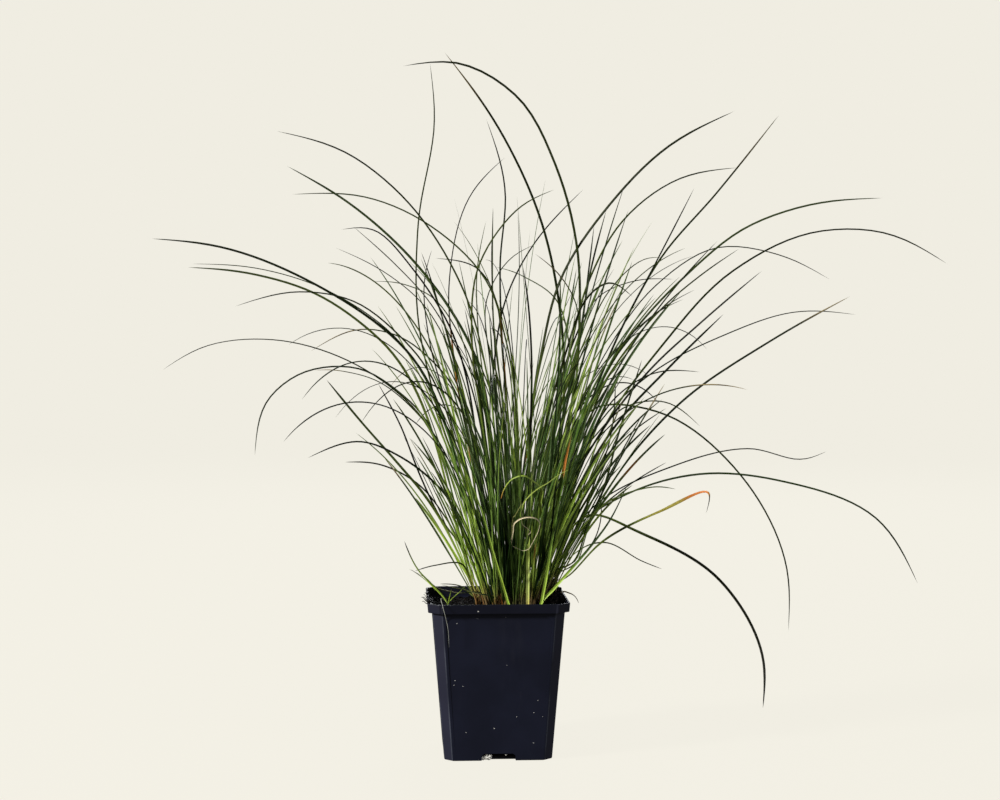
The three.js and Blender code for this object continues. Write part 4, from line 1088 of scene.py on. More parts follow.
class Finish:
    """A procedural material under construction."""

    def __init__(self, name, **uniform):
        self.material = bpy.data.materials.new(name)
        self.material.use_nodes = True
        self.tree = self.material.node_tree
        self.tree.nodes.clear()
        self.shader = self.add("BsdfPrincipled", **uniform)
        out = self.add("OutputMaterial")
        self.tree.links.new(self.shader.outputs[0], out.inputs["Surface"])

    def add(self, kind, settings=None, **inputs):
        node = self.tree.nodes.new("ShaderNode" + kind)
        for key, value in (settings or {}).items():
            setattr(node, key, value)
        for key, value in inputs.items():
            self.feed(node, key.replace("_", " "), value)
        return node

    def feed(self, node, key, value):
        if hasattr(value, "is_output"):
            self.tree.links.new(value, node.inputs[key])
        elif hasattr(value, "__len__") and len(value) == 3 and node.inputs[key].type == "RGBA":
            node.inputs[key].default_value = [*value, 1]
        else:
            node.inputs[key].default_value = value

    def mark(self, name):
        return self.add("Attribute", {"attribute_name": name}).outputs["Fac"]

    def place(self):
        return self.add("TexCoord").outputs["Object"]

    def math(self, operation, a, b=0.5, clamped=False):
        node = self.add("Math", {"operation": operation, "use_clamp": clamped})
        for socket, value in enumerate((a, b)):
            self.feed(node, socket, value)
        return node.outputs[0]

    def times(self, a, b):
        return self.math("MULTIPLY", a, b)

    def plus(self, a, b, clamped=False):
        return self.math("ADD", a, b, clamped)

    def step(self, value, low, high):
        """0 below low, 1 above high, smooth between."""
        node = self.add("MapRange", {"interpolation_type": "SMOOTHSTEP"}, Value=value)
        node.inputs["From Min"].default_value = low
        node.inputs["From Max"].default_value = high
        return node.outputs[0]

    def noise(self, where, scale, detail=3, rough=0.55, spread=(1, 1, 1)):
        """Cloudy noise, with its scale in waves to the metre."""
        shaped = self.add("Mapping", Vector=where)
        shaped.inputs["Scale"].default_value = spread
        node = self.add("TexNoise", Vector=shaped.outputs[0], Scale=scale, Detail=detail, Roughness=rough)
        return node.outputs["Fac"]

    def cells(self, where, scale):
        return self.add("TexVoronoi", Vector=where, Scale=scale).outputs["Distance"]

    def ramp(self, value, *stops):
        node = self.add("ValToRGB", Fac=value)
        elements = node.color_ramp.elements
        while len(elements) < len(stops):
            elements.new(0.5)
        for element, (at, colour) in zip(elements, stops):
            element.position = at
            element.color = [*colour, 1]
        return node.outputs["Color"]

    def mix(self, share, a, b, blend="MIX"):
        node = self.add("Mix", {"data_type": "RGBA", "blend_type": blend, "clamp_factor": True})
        # The node's sockets 0, 6 and 7 take the share and the two colours.
        for socket, value in ((0, share), (6, a), (7, b)):
            self.feed(node, socket, value)
        return node.outputs[2]

    def wash(self, body, value, low, high, strength, colour, blend="MIX"):
        """Lays a colour over the body, at a strength, where a value has risen from low to high."""
        return self.mix(self.times(self.step(value, low, high), strength), body, colour, blend)

    def bump(self, height, depth, strength, after=None):
        node = self.add("Bump", Height=height, Distance=depth, Strength=strength)
        if after is not None:
            self.tree.links.new(after, node.inputs["Normal"])
        return node.outputs[0]

    def set(self, **inputs):
        for key, value in inputs.items():
            self.feed(self.shader, key.replace("_", " "), value)
        return self.material


# Ribs of a blade: how they run along it, and how much they differ from one blade to the next.
RIB_RUN = 0.012
RIB_VARIETY = 90
# The height over which a blade's foot turns from brown to green, and how far that wanders.
FOOT_COLOURS_UP_TO = 24
FOOT_FADE = (2, 20)
FOOT_WANDER = 20


def leaf_finish(settings):
    """Blades: yellow green at the foot, deep to bright green above, olive at the tip, with fine ribs; low
    down, painted shade darkens the dark-toned blades and their feet.
    """
    made = Finish("sedge_leaf")
    share, rise, edge, tone, dry, warm, dusk = [made.mark(name) for name in LEAF_MARKS]
    rib_place = made.add("CombineXYZ", X=edge, Y=made.times(rise, RIB_RUN), Z=made.times(tone, RIB_VARIETY))
    ribs = made.noise(rib_place.outputs[0], scale=5.5, detail=2)
    blotch = made.noise(made.place(), scale=60)
    # Low down the tone carries painted light and shade by place, so there this ramp paints them.
    green = made.ramp(tone, (0.06, settings.shade), (0.42, settings.green), (0.85, settings.sunlit))
    young = made.times(made.step(rise, 120, 15), made.step(tone, 0, 0.6))
    green = made.mix(made.times(young, 0.55), green, settings.sunlit)
    green = made.wash(green, share, 0.5, 1, 0.65, settings.tip)
    dull = made.times(dusk, made.step(share, 0.15, 0.5))
    green = made.mix(dull, green, settings.dusk)
    # Painted shade: low down, dark-toned blades are darkened further towards a deeper shade green.
    deep = made.times(made.step(tone, 0.4, 0.08), made.step(rise, 110, 40))
    green = made.mix(made.times(deep, 0.7), green, scaled(settings.shade, 0.4))
    # Where neither dusk nor painted shade lies; rib crests and full gloss show only there.
    plain_unshaded = made.math("SUBTRACT", 1, made.math("MAXIMUM", dull, deep))
    foot = made.ramp(
        made.times(rise, 1 / FOOT_COLOURS_UP_TO),
        (0, tint("3d2618")),
        (0.2, tint("75562f")),
        (0.4, tint("a9a352")),
        (1, tint("8c9838")),
    )
    # Painted shade: the foot of a dark-toned blade is darkened, as in the clump's shaded middle.
    foot = made.wash(foot, tone, 0.6, 0.15, 0.85, scaled(settings.shade, 0.5))
    wander = made.plus(rise, made.times(made.math("SUBTRACT", 0.5, tone), FOOT_WANDER))
    body = made.mix(made.step(wander, *FOOT_FADE), foot, green)
    straw = made.ramp(blotch, (0.25, tint("4f4030")), (0.5, tint("8f7f5c")), (0.75, tint("bdb08a")))
    straw = made.mix(made.step(tone, 0.8, 0.9), straw, tint("c9bc9c"))
    straw = made.mix(made.step(tone, 0.96, 1), straw, tint("a9a9a2"))
    body = made.mix(dry, body, straw)
    body = made.mix(warm, body, settings.russet)
    pale = made.mix(0.35, body, (0.8, 0.9, 0.5), "SCREEN")
    rib_crests = made.times(made.step(ribs, 0.45, 0.75), plain_unshaded)
    body = made.mix(made.times(rib_crests, 0.6), body, pale)
    body = made.wash(body, blotch, 0.4, 0.7, 0.4, (0.4, 0.42, 0.35), "MULTIPLY")
    rough = made.plus(settings.roughness - 0.1, made.times(ribs, 0.22))
    shine = made.times(made.plus(0.25, made.times(plain_unshaded, 0.75)), settings.gloss)
    height = made.bump(ribs, 0.00009, 0.8)
    return made.set(Base_Color=body, Roughness=rough, Specular_IOR_Level=shine, Normal=height)


def pot_finish(settings):
    """Black moulded plastic: a fine grain, scuffs and dried water marks, with a painted sheen on the cut
    corners, a painted highlight along their bends and painted shade on the rim band.
    """
    made = Finish("pot_plastic", IOR=1.49, Specular_IOR_Level=settings.gloss)
    where = made.place()
    parts = made.add("SeparateXYZ", Vector=where).outputs
    grain = made.noise(where, scale=2600, detail=2)
    cloud = made.noise(where, scale=28, detail=4)
    scuff = made.noise(where, scale=140, detail=6, rough=0.7, spread=(1, 1, 0.12))
    drip = made.noise(where, scale=60, detail=5, rough=0.6, spread=(1, 1, 0.2))
    body = made.mix(made.step(cloud, 0.35, 0.7), settings.colour, scaled(settings.colour, 1.35))
    dusty = made.times(made.step(drip, 0.55, 0.75), settings.dust)
    body = made.mix(dusty, body, tint("5d5c5e"))
    body = made.wash(body, scuff, 0.62, 0.74, 0.08, tint("5a5a66"))
    nearer = made.math("MINIMUM", made.math("ABSOLUTE", parts["X"]), made.math("ABSOLUTE", parts["Y"]))
    band_foot = POT_HEIGHT - RIM_BAND
    flat_foot, flat_top = BODY_BASE_HALF - BASE_CHAMFER, BODY_TOP_HALF - BODY_CHAMFER
    bend = made.plus(made.times(parts["Z"], (flat_top - flat_foot) / band_foot), flat_foot * MM)
    past_bend = made.math("SUBTRACT", nearer, bend)
    # Painted sheen: the cut-corner strips are washed paler, as a corner turned to the lamp looks.
    body = made.wash(body, past_bend, 0, 0.4 * MM, 0.1, tint("4c4a5e"))
    off_bend = made.math("ABSOLUTE", past_bend)
    # Painted highlight: a pale line along each corner bend, broken up by the cloud.
    painted_highlight = made.times(made.step(off_bend, 0.5 * MM, 0.1 * MM), made.step(cloud, 0.3, 0.6))
    body = made.mix(made.times(painted_highlight, settings.bend_highlight), body, tint("7d8290"))
    # Painted shade: the rim band is darkened.
    rim = made.step(parts["Z"], band_foot * MM, (band_foot + 1) * MM)
    body = made.mix(rim, body, (0.62, 0.6, 0.66), "MULTIPLY")
    rough = made.plus(settings.roughness - 0.08, made.times(cloud, 0.16))
    rough = made.plus(rough, made.times(dusty, 0.3), clamped=True)
    height = made.bump(grain, 0.00003, 0.5)
    height = made.bump(cloud, 0.0004, 0.25, height)
    height = made.bump(scuff, 0.00005, 0.6, height)
    return made.set(Base_Color=body, Roughness=rough, Normal=height)


def soil_finish(settings):
    """Damp peat: near black with brown fibres."""
    made = Finish("peat", Roughness=0.95, Specular_IOR_Level=0.06)
    where = made.place()
    colour = settings.colour
    lumps = made.noise(where, scale=420, detail=6, rough=0.7)
    fibres = made.noise(where, scale=900, rough=0.6, spread=(1, 0.25, 1))
    body = made.ramp(lumps, (0.3, scaled(colour, 0.35)), (0.5, colour), (0.68, scaled(colour, 1.9)))
    body = made.wash(body, fibres, 0.6, 0.72, 0.5, tint("1c1512"))
    height = made.bump(lumps, 0.0012, 0.9)
    height = made.bump(fibres, 0.0003, 0.6, height)
    return made.set(Base_Color=body, Normal=height)


def crumb_finish(settings):
    """Peat crumbs, bark bits and roots: each has its own tone."""
    made = Finish("peat_crumb", Roughness=0.95, Specular_IOR_Level=0.08)
    colour = settings.colour
    bark, root = tint("0f0c0b"), tint("241c16")
    speckle = made.noise(made.place(), scale=1500)
    body = made.ramp(made.mark("tone"), (0, scaled(colour, 0.5)), (0.55, colour), (0.9, bark), (0.98, root))
    body = made.mix(made.times(speckle, 0.6), body, scaled(colour, 0.4))
    return made.set(Base_Color=body, Normal=made.bump(speckle, 0.0004, 0.8))


def perlite_finish():
    """White volcanic grit, pitted and slightly soiled."""
    made = Finish("perlite", Roughness=0.85)
    where = made.place()
    pits = made.cells(where, scale=2200)
    soiled = made.noise(where, scale=500)
    body = made.ramp(soiled, (0.3, tint("a9a59b")), (0.5, tint("e6e4de")), (0.75, tint("f8f7f4")))
    body = made.mix(made.mark("dusty"), body, tint("6f6f72"))
    return made.set(Base_Color=body, Normal=made.bump(pits, 0.0004, 0.8))


def ground_finish(settings):
    """Seamless paper in a pale cream, evenly lit."""
    glow = {"Emission_Color": settings.ground, "Emission_Strength": settings.ground_glow}
    made = Finish("studio_paper", Roughness=0.9, Specular_IOR_Level=0, **glow)
    grain = made.noise(made.place(), scale=300, detail=2)
    dim = scaled(settings.ground, settings.ground_share)
    return made.set(Base_Color=made.mix(made.times(grain, 0.1), dim, scaled(dim, 0.8)))


# The pot.

CORNER_ROUND = 1.1
CORNER_STEPS = 4
RIM_ROUND = 0.45
RIM_STEPS = 3
# Rounded edges at the foot and under the band: heights in shares of FOOT_EDGE, and how far in they bend.
FOOT_BEND_AT, FOOT_BEND_IN = 0.35, 0.2
BAND_EDGE_AT = (0.5, 1.3)
BAND_BEND_AT, BAND_BEND_IN = 0.7, 0.15
# How far the tools that cut the panels and notches reach out of the side and below the foot.
SLAB_OUT = 3
SLAB_BELOW = 2
ARC_POINTS = 7
DRAIN_SIDES = 24
EDGE_BEVEL = 0.28
BEVEL_ANGLE = 40 * DEGREE
SHARP_ANGLE = 35 * DEGREE


def body_half(z):
    """Half width of the pot's outside at a height under the rim band."""
    return between(BODY_BASE_HALF, BODY_TOP_HALF, z / (POT_HEIGHT - RIM_BAND))


def pot_outline(half, chamfer, z):
    """Square outline with cut corners, each bend rounded a little."""
    inner = half - chamfer
    bends = [(inner, -half), (half, -inner), (half, inner), (inner, half)]
    bends += [(-x, -y) for x, y in bends]
    ring = []
    for i, bend in enumerate(bends):
        here = np.array(bend)
        before, after = np.array(bends[i - 1]), np.array(bends[(i + 1) % len(bends)])
        enter = here + unit(before - here) * CORNER_ROUND
        leave = here + unit(after - here) * CORNER_ROUND
        for k in range(CORNER_STEPS + 1):
            t = k / CORNER_STEPS
            x, y = enter * (1 - t) ** 2 + here * (2 * t * (1 - t)) + leave * t * t
            ring.append((x, y, z))
    return ring


def rounded_edge(half, z, chamfer, radius, first, last):
    """Outlines round an edge: from one angle to another on a circle inside it."""
    rings = []
    for k in range(RIM_STEPS + 1):
        angle = between(first, last, k / RIM_STEPS) * DEGREE
        rings.append(pot_outline(half + radius * math.cos(angle), chamfer, z + radius * math.sin(angle)))
    return rings


def pot_shell():
    """The moulded pot from its foot up over the rim and down inside to its floor."""
    band_foot = POT_HEIGHT - RIM_BAND
    shoulder_foot = band_foot - WALL / 2
    below = RIM_HALF - RIM_DRAFT
    inside = RIM_CHAMFER - WALL / 2
    r = RIM_ROUND
    rings = [
        pot_outline(BODY_BASE_HALF - FOOT_EDGE, BASE_CHAMFER, 0),
        pot_outline(body_half(FOOT_EDGE) - FOOT_BEND_IN, BASE_CHAMFER, FOOT_EDGE * FOOT_BEND_AT),
        pot_outline(body_half(FOOT_EDGE), BASE_CHAMFER, FOOT_EDGE),
        pot_outline(BODY_TOP_HALF, BODY_CHAMFER, band_foot),
        pot_outline(below - FOOT_EDGE, RIM_CHAMFER, band_foot + FOOT_EDGE * BAND_EDGE_AT[0]),
        pot_outline(below - BAND_BEND_IN, RIM_CHAMFER, band_foot + FOOT_EDGE * BAND_BEND_AT),
        pot_outline(below, RIM_CHAMFER, band_foot + FOOT_EDGE * BAND_EDGE_AT[1]),
        *rounded_edge(RIM_HALF - r, POT_HEIGHT - r, RIM_CHAMFER, r, 0, 90),
        *rounded_edge(RIM_HALF - WALL + r, POT_HEIGHT - r, inside, r, 90, 180),
        pot_outline(below - WALL, inside, shoulder_foot + SHOULDER),
        pot_outline(body_half(shoulder_foot) - WALL, BODY_CHAMFER - WALL / 2, shoulder_foot),
        pot_outline(body_half(FLOOR) - WALL, BASE_CHAMFER - WALL / 2, FLOOR),
    ]
    return Skin().stack(rings)


def arc(centre, radius, first, last, count=ARC_POINTS):
    """Points on a circle from one angle to another, in degrees."""
    angles = [between(first, last, k / (count - 1)) * DEGREE for k in range(count)]
    return [(centre[0] + radius * math.cos(a), centre[1] + radius * math.sin(a)) for a in angles]


def on_side(x, up, out, side):
    """A point given on the plane of one side of the pot: across, up the slope and out of it."""
    slope = unit(np.array([0, BODY_BASE_HALF - BODY_TOP_HALF, POT_HEIGHT - RIM_BAND]))
    normal = np.array([0, -slope[2], slope[1]])
    point = np.array([x, -BODY_BASE_HALF, 0]) + slope * up + normal * out
    c, s = math.cos(side * math.pi / 2), math.sin(side * math.pi / 2)
    return np.array([point[0] * c - point[1] * s, point[0] * s + point[1] * c, point[2]])


def side_slab(name, shape, depth, side, fading=0.0):
    """A slab that cuts a shape into one side of the pot, less deep the lower it is where it fades."""
    inner = [on_side(x, up, -depth * (min(1, up / fading) if fading else 1), side) for x, up in shape]
    outer = [on_side(x, up, SLAB_OUT, side) for x, up in shape]
    return Skin().stack([inner, outer]).build(name, None)


def mirrored(right):
    """A shape from its right half, given from the foot up."""
    return [*right, *[(-x, up) for x, up in reversed(right)]]


def panel_shape():
    top = POT_HEIGHT - RIM_BAND - PANEL_TOP_GAP

    def half_at(up):
        return body_half(up) - between(BASE_CHAMFER, BODY_CHAMFER, up / POT_HEIGHT) - PANEL_MARGIN

    right = arc((half_at(top) - PANEL_CORNER, top - PANEL_CORNER), PANEL_CORNER, 0, 90)
    return mirrored([(half_at(PANEL_FOOT), PANEL_FOOT), *right])


def notch_shape():
    shoulder = NOTCH_HEIGHT - NOTCH_CORNER
    right = arc((NOTCH_HALF - NOTCH_CORNER, shoulder), NOTCH_CORNER, 0, 90)
    return mirrored([(NOTCH_HALF, -SLAB_BELOW), *right])


def drain_bit(corner):
    """A round bit that drills one drain hole."""
    angle = (corner + 0.5) * math.pi / 2
    reach = DRAIN_OFFSET * math.sqrt(2)
    middle = (reach * math.cos(angle), reach * math.sin(angle))
    round_bit = arc(middle, DRAIN_RADIUS, 0, 360 - 360 / DRAIN_SIDES, DRAIN_SIDES)
    rings = [[(x, y, z) for x, y in round_bit] for z in (-FLOOR, 2 * FLOOR)]
    return Skin().stack(rings).build(f"drain_bit_{corner}", None)


def settle(piece):
    """Applies a piece's modifiers."""
    graph = bpy.context.evaluated_depsgraph_get()
    mesh = bpy.data.meshes.new_from_object(piece.evaluated_get(graph))
    piece.modifiers.clear()
    piece.data = mesh


def carve(piece, cutters):
    """Takes the cutters' shapes out of a piece, and the cutters away."""
    for cutter in cutters:
        cut = piece.modifiers.new(cutter.name, "BOOLEAN")
        cut.operation, cut.solver, cut.object = "DIFFERENCE", "EXACT", cutter
    settle(piece)
    for cutter in cutters:
        bpy.data.objects.remove(cutter)


def make_pot(settings):
    pot = pot_shell().build("nursery_pot", pot_finish(settings))
    sides = range(4)
    cutters = [side_slab(f"panel_{k}", panel_shape(), PANEL_DEPTH, k, fading=POT_HEIGHT) for k in sides]
    cutters += [side_slab(f"notch_{k}", notch_shape(), NOTCH_REACH, k) for k in sides]
    cutters += [drain_bit(k) for k in sides]
    carve(pot, cutters)
    bevel = pot.modifiers.new("soft edges", "BEVEL")
    bevel.width, bevel.segments = EDGE_BEVEL * MM, 2
    bevel.limit_method, bevel.angle_limit = "ANGLE", BEVEL_ANGLE
    settle(pot)
    pot.data.shade_smooth()
    pot.data.set_sharp_from_angle(angle=SHARP_ANGLE)
    weighted = pot.modifiers.new("flat sides", "WEIGHTED_NORMAL")
    weighted.keep_sharp = True
    settle(pot)
    return pot


# Soil and litter.

SOIL_RINGS = 46
SOIL_RING_POWER = 1.05
SOIL_SECTORS = 180
SOIL_WALL_GAP = 0.05
SOIL_EDGE_DROP = 1.5
LUMP_DEPTH = 1.1
LUMP_SIZE = 4
LUMP_OCTAVES = 5
LUMP_GAIN = 0.55
LUMP_DROP = 0.25
# Noise: how rough lumps are, how much finer each octave is, and how far about its middle a ball's is taken.
NOISE_ROUGH = 0.9
BALL_NOISE_ROUGH = 0.8
NOISE_FINER = 2.1
BALL_NOISE_SIZE = 1.7
BALL_NOISE_REACH = 50
BALL_OCTAVES = 4
# How much smaller a dressed clod is than its solid, how far litter sinks into one, and how far above the
# plain soil one begins.
CLOD_SHARE = 0.96
CLOD_SINK = 0.6
CLOD_STANDS = 0.5


def outline_radius(half, chamfer, angle):
    """Radius of a cut-cornered square in one direction."""
    c, s = abs(math.cos(angle)), abs(math.sin(angle))
    return min(half / max(c, s), (2 * half - chamfer) / (c + s))


def soil_top(x, y):
    """The dressed soil's surface: the solid's own, broken into lumps."""
    lumps = noise.fractal(Vector((x / LUMP_SIZE, y / LUMP_SIZE, 0)), NOISE_ROUGH, NOISE_FINER, LUMP_OCTAVES)
    return base_soil_height(x, y) + LUMP_DEPTH * (LUMP_GAIN * lumps - LUMP_DROP)


def soil_skin():
    """The soil's body: a lumpy top, sides along the pot and a flat foot."""
    edge = SOIL_LEVEL - SOIL_EDGE_DROP
    top_half = body_half(edge) - WALL - SOIL_WALL_GAP
    foot_half = body_half(FLOOR + SEAT_GAP) - WALL - SEAT_GAP
    chamfer = BODY_CHAMFER - WALL / 2
    angles = [2 * math.pi * k / SOIL_SECTORS for k in range(SOIL_SECTORS)]
    rings = []
    for half, z in ((foot_half, FLOOR + SEAT_GAP), (top_half, edge)):
        radii = [outline_radius(half, chamfer, a) for a in angles]
        rings.append([(r * math.cos(a), r * math.sin(a), z) for r, a in zip(radii, angles)])
    for k in range(SOIL_RINGS):
        share = 1 - (k / SOIL_RINGS) ** SOIL_RING_POWER
        ring = []
        for a in angles:
            r = outline_radius(top_half, chamfer, a) * share
            x, y = r * math.cos(a), r * math.sin(a)
            ring.append((x, y, soil_top(x, y)))
        rings.append(ring)
    return Skin().stack(rings)


def rough_ball(radii, detail, chance, depth=0.3):
    """Points and faces of a ball with a rough surface: its half sizes across, deep and up."""
    work = bmesh.new()
    bmesh.ops.create_icosphere(work, subdivisions=detail, radius=1)
    off = Vector([chance.uniform(-BALL_NOISE_REACH, BALL_NOISE_REACH) for _ in range(3)])
    points = []
    for vertex in work.verts:
        at = vertex.co * BALL_NOISE_SIZE + off
        swell = 1 + depth * noise.fractal(at, BALL_NOISE_ROUGH, NOISE_FINER, BALL_OCTAVES)
        points.append(np.array(vertex.co) * swell * np.array(radii))
    faces = [tuple(v.index for v in face.verts) for face in work.faces]
    work.free()
    return np.array(points), faces


def turned(points, chance, tilt=math.pi):
    """Points turned about the origin: tilted up to an angle, and any way round."""
    spin = Euler([chance.uniform(-most, most) for most in (tilt, tilt, math.pi)])
    return points @ np.array(spin.to_matrix()).T


def make_soil(settings):
    skin = soil_skin()
    chance = random.Random("clods")
    for cx, cy, cz, rx, ry, rz in CLODS:
        points, faces = rough_ball((rx, ry, rz), 5, chance)
        skin.add(points * CLOD_SHARE + np.array([cx, cy, cz]), faces)
    return skin.build("peat", soil_finish(settings), smooth=75)


def on_soil(x, y):
    """The height of whatever dressed surface is at a place inside the pot."""
    height = soil_height(x, y)
    on_clod = height > base_soil_height(x, y) + CLOD_STANDS
    return max(soil_top(x, y), height - CLOD_SINK if on_clod else 0)


# Litter and root fibres keep this far from the pot's wall.
SCATTER_ROOM = 1
ROOT_ROOM = 0.6
# Crumbs: their sizes beside the one asked for, the size above which one has more faces, their roughness,
# their tilt, and how far up they lie as a share of their size.
CRUMB_RANGES = ((0.6, 1.3), (0.6, 1.1), (0.5, 1))
FINE_CRUMB = 0.75
CRUMB_DEPTH = 0.35
CRUMB_TILT = 0.6
CRUMB_LIFT = 0.25
THREAD_SIDES = 5
THREAD_TAPER = 0.6
THREAD_FACING = (0.3, 0.4, 0.87)
# Root fibres: their stretches, how far they rise from the soil, and how much they turn.
ROOT_STRETCHES = 8
ROOT_LIFT = 0.25
ROOT_UNEVEN = 0.5
ROOT_ARCH = 1.3
ROOT_TURN = 0.4
ROOT_STRAY = 0.25


def scatter(count, chance):
    """Places on the soil, inside the pot."""
    placed = []
    limit = body_half(SOIL_LEVEL) - WALL - SCATTER_ROOM
    while len(placed) < count:
        x, y = chance.uniform(-limit, limit), chance.uniform(-limit, limit)
        if math.hypot(x, y) < outline_radius(limit, BODY_CHAMFER, math.atan2(y, x)):
            placed.append((x, y, on_soil(x, y)))
    return placed


def add_crumb(skin, place, size, chance, flat=0.7):
    """A crumb of its own shape and tone, lying at a place."""
    radii = [size * chance.uniform(*limits) for limits in CRUMB_RANGES]
    radii[2] *= flat
    points, faces = rough_ball(radii, 2 if size > FINE_CRUMB else 1, chance, CRUMB_DEPTH)
    points = turned(points, chance, CRUMB_TILT) + np.array(place) + np.array([0, 0, size * CRUMB_LIFT])
    skin.add(points, faces, tone=chance.random())


def add_thread(skin, path, radius, tone):
    """A thin round thread along a path, pointed at its far end."""
    path = np.asarray(path, float)
    flat, face = carried_frames(path, np.array(THREAD_FACING))
    points = []
    last = len(path) - 1
    for i in range(last):
        thick = radius * (1 - THREAD_TAPER * (i / last) ** 2)
        for k in range(THREAD_SIDES):
            a = 2 * math.pi * k / THREAD_SIDES
            points.append(path[i] + thick * (math.cos(a) * flat[i] + math.sin(a) * face[i]))
    points.append(path[last])
    skin.add(points, stacked([range(THREAD_SIDES)] * last, tip=True), tone=tone)


def root_path(place, length, chance):
    """A root fibre that lies on the soil and curls up a little in places."""
    way = chance.uniform(-math.pi, math.pi)
    turn = chance.uniform(-ROOT_TURN, ROOT_TURN)
    limit = body_half(SOIL_LEVEL) - WALL - ROOT_ROOM
    step = length / ROOT_STRETCHES
    x, y, _ = place
    points = []
    for k in range(ROOT_STRETCHES + 1):
        z = on_soil(x, y) + ROOT_LIFT + chance.uniform(0, ROOT_UNEVEN)
        z += ROOT_ARCH * math.sin(math.pi * k / ROOT_STRETCHES) * chance.random()
        points.append((x, y, z))
        x = clamp(x + step * math.cos(way), -limit, limit)
        y = clamp(y + step * math.sin(way), -limit, limit)
        way += turn + chance.uniform(-ROOT_STRAY, ROOT_STRAY)
    return refine(np.array(points))


def front_of_pot(x, z):
    """A point on the pot's front face, at its panel's depth below the rim band."""
    if z > POT_HEIGHT - RIM_BAND:
        return np.array([x, -RIM_HALF + RIM_DRAFT * (POT_HEIGHT - z) / RIM_BAND, z])
    return np.array([x, -body_half(z) + PANEL_DEPTH * z / POT_HEIGHT, z])


# Pale specks on the front of the pot, as across and up.
FRONT_SPECKS = (
    *((-26.6, 87.8), (-13.3, 95.8), (-13.4, 90.8), (4, 91.6), (-27.6, 51.7)),
    *((-28.3, 48.7), (-22.6, 47.8), (5, 61), (24.6, 38.4), (22.1, 30.6)),
    *((11.2, 28.1), (27.7, 28.1), (-2.9, 20.8), (-20.6, 18.3), (22, 11.2)),
)
# White grit caught in the front drain notch: across, up and size.
NOTCH_GRIT = (
    *((-10.2, 1.5, 1.5), (-8.1, 2.2, 2.1), (-6.2, 1.8, 1.7), (-5.2, 3.2, 1.1)),
    *((-7.5, 3.5, 1), (-11, 0.8, 0.7), (4.6, 3.6, 0.6)),
)
SPECK_DEPTH = 0.12
GRIT_ABOVE_GROUND = 0.05
# Heaps of peat crumbs lying on the rim's left end, as places.
RIM_CRUMBS = (
    *((-44, -36), (-44.4, -31), (-44, -26), (-44, -18)),
    *((-43.9, -9), (-44, 3), (-43.9, 12), (-43.7, 24)),
)
CRUMBS_PER_HEAP = 3
FIBRE_LENGTH = (4, 15)
FIBRE_RADIUS = (0.1, 0.24)
FIBRE_TONE = (0.75, 1)
HEAP_ACROSS = (-0.6, 0.4)
HEAP_ALONG = (-2.4, 2.4)
HEAP_CRUMB = (0.4, 1.1)
# Each clod gets one crumb for this many of those on the soil, sunk in a little and clear of the rim, from
# just under its middle up to its top.
CLOD_CRUMBS = 12
CLOD_CRUMB_RISE = (-0.1, 1)
CRUMB_SINK = 0.4
CRUMB_ROOM = 1.2
# Sizes of crumbs: the least, what a draw adds, and the power that makes large ones rare.
SOIL_CRUMB = (0.35, 1.3, 2.6)
CLOD_CRUMB = (0.4, 1.1, 2)
# Fibres sticking out over the left of the rim, each as two ends.
RIM_FIBRES = (
    ((-41, -31, 99), (-49, -32, 103)),
    ((-42, -33, 100), (-48.5, -35, 100.5)),
    ((-42, -28, 100), (-47.5, -27, 104)),
    ((-41, -24, 99.5), (-48, -22, 101.5)),
    ((-42, -35, 100), (-46.5, -39, 102)),
    ((-42, -15, 100), (-46.5, -12, 103)),
)
RIM_FIBRE_POINTS = 8
RIM_FIBRE_WAVE = 0.8
RIM_FIBRE_TURN = 1.3
RIM_FIBRE_RADIUS = (0.25, 0.4)
RIM_FIBRE_TONE = 0.3
# White grains on the soil: their size, their shape, how far up they lie and how soiled they are.
GRAIN_SIZE = (0.35, 0.9)
GRAIN_SHAPE = (1, 0.85, 0.75)
GRAIN_LIFT = 0.2
GRAIN_DUST = (0.2, 0.8)
GRIT_SHAPE = (1, 0.8, 0.8)
GRIT_DEPTH = 0.35
GRIT_INSET = 0.4
SPECK_SIZE = (0.2, 0.38)
SPECK_HEIGHT = (0.6, 1)
SPECK_DUST = (0, 0.7)


def drawn_size(chance, least, more, power):
    return least + more * chance.random() ** power


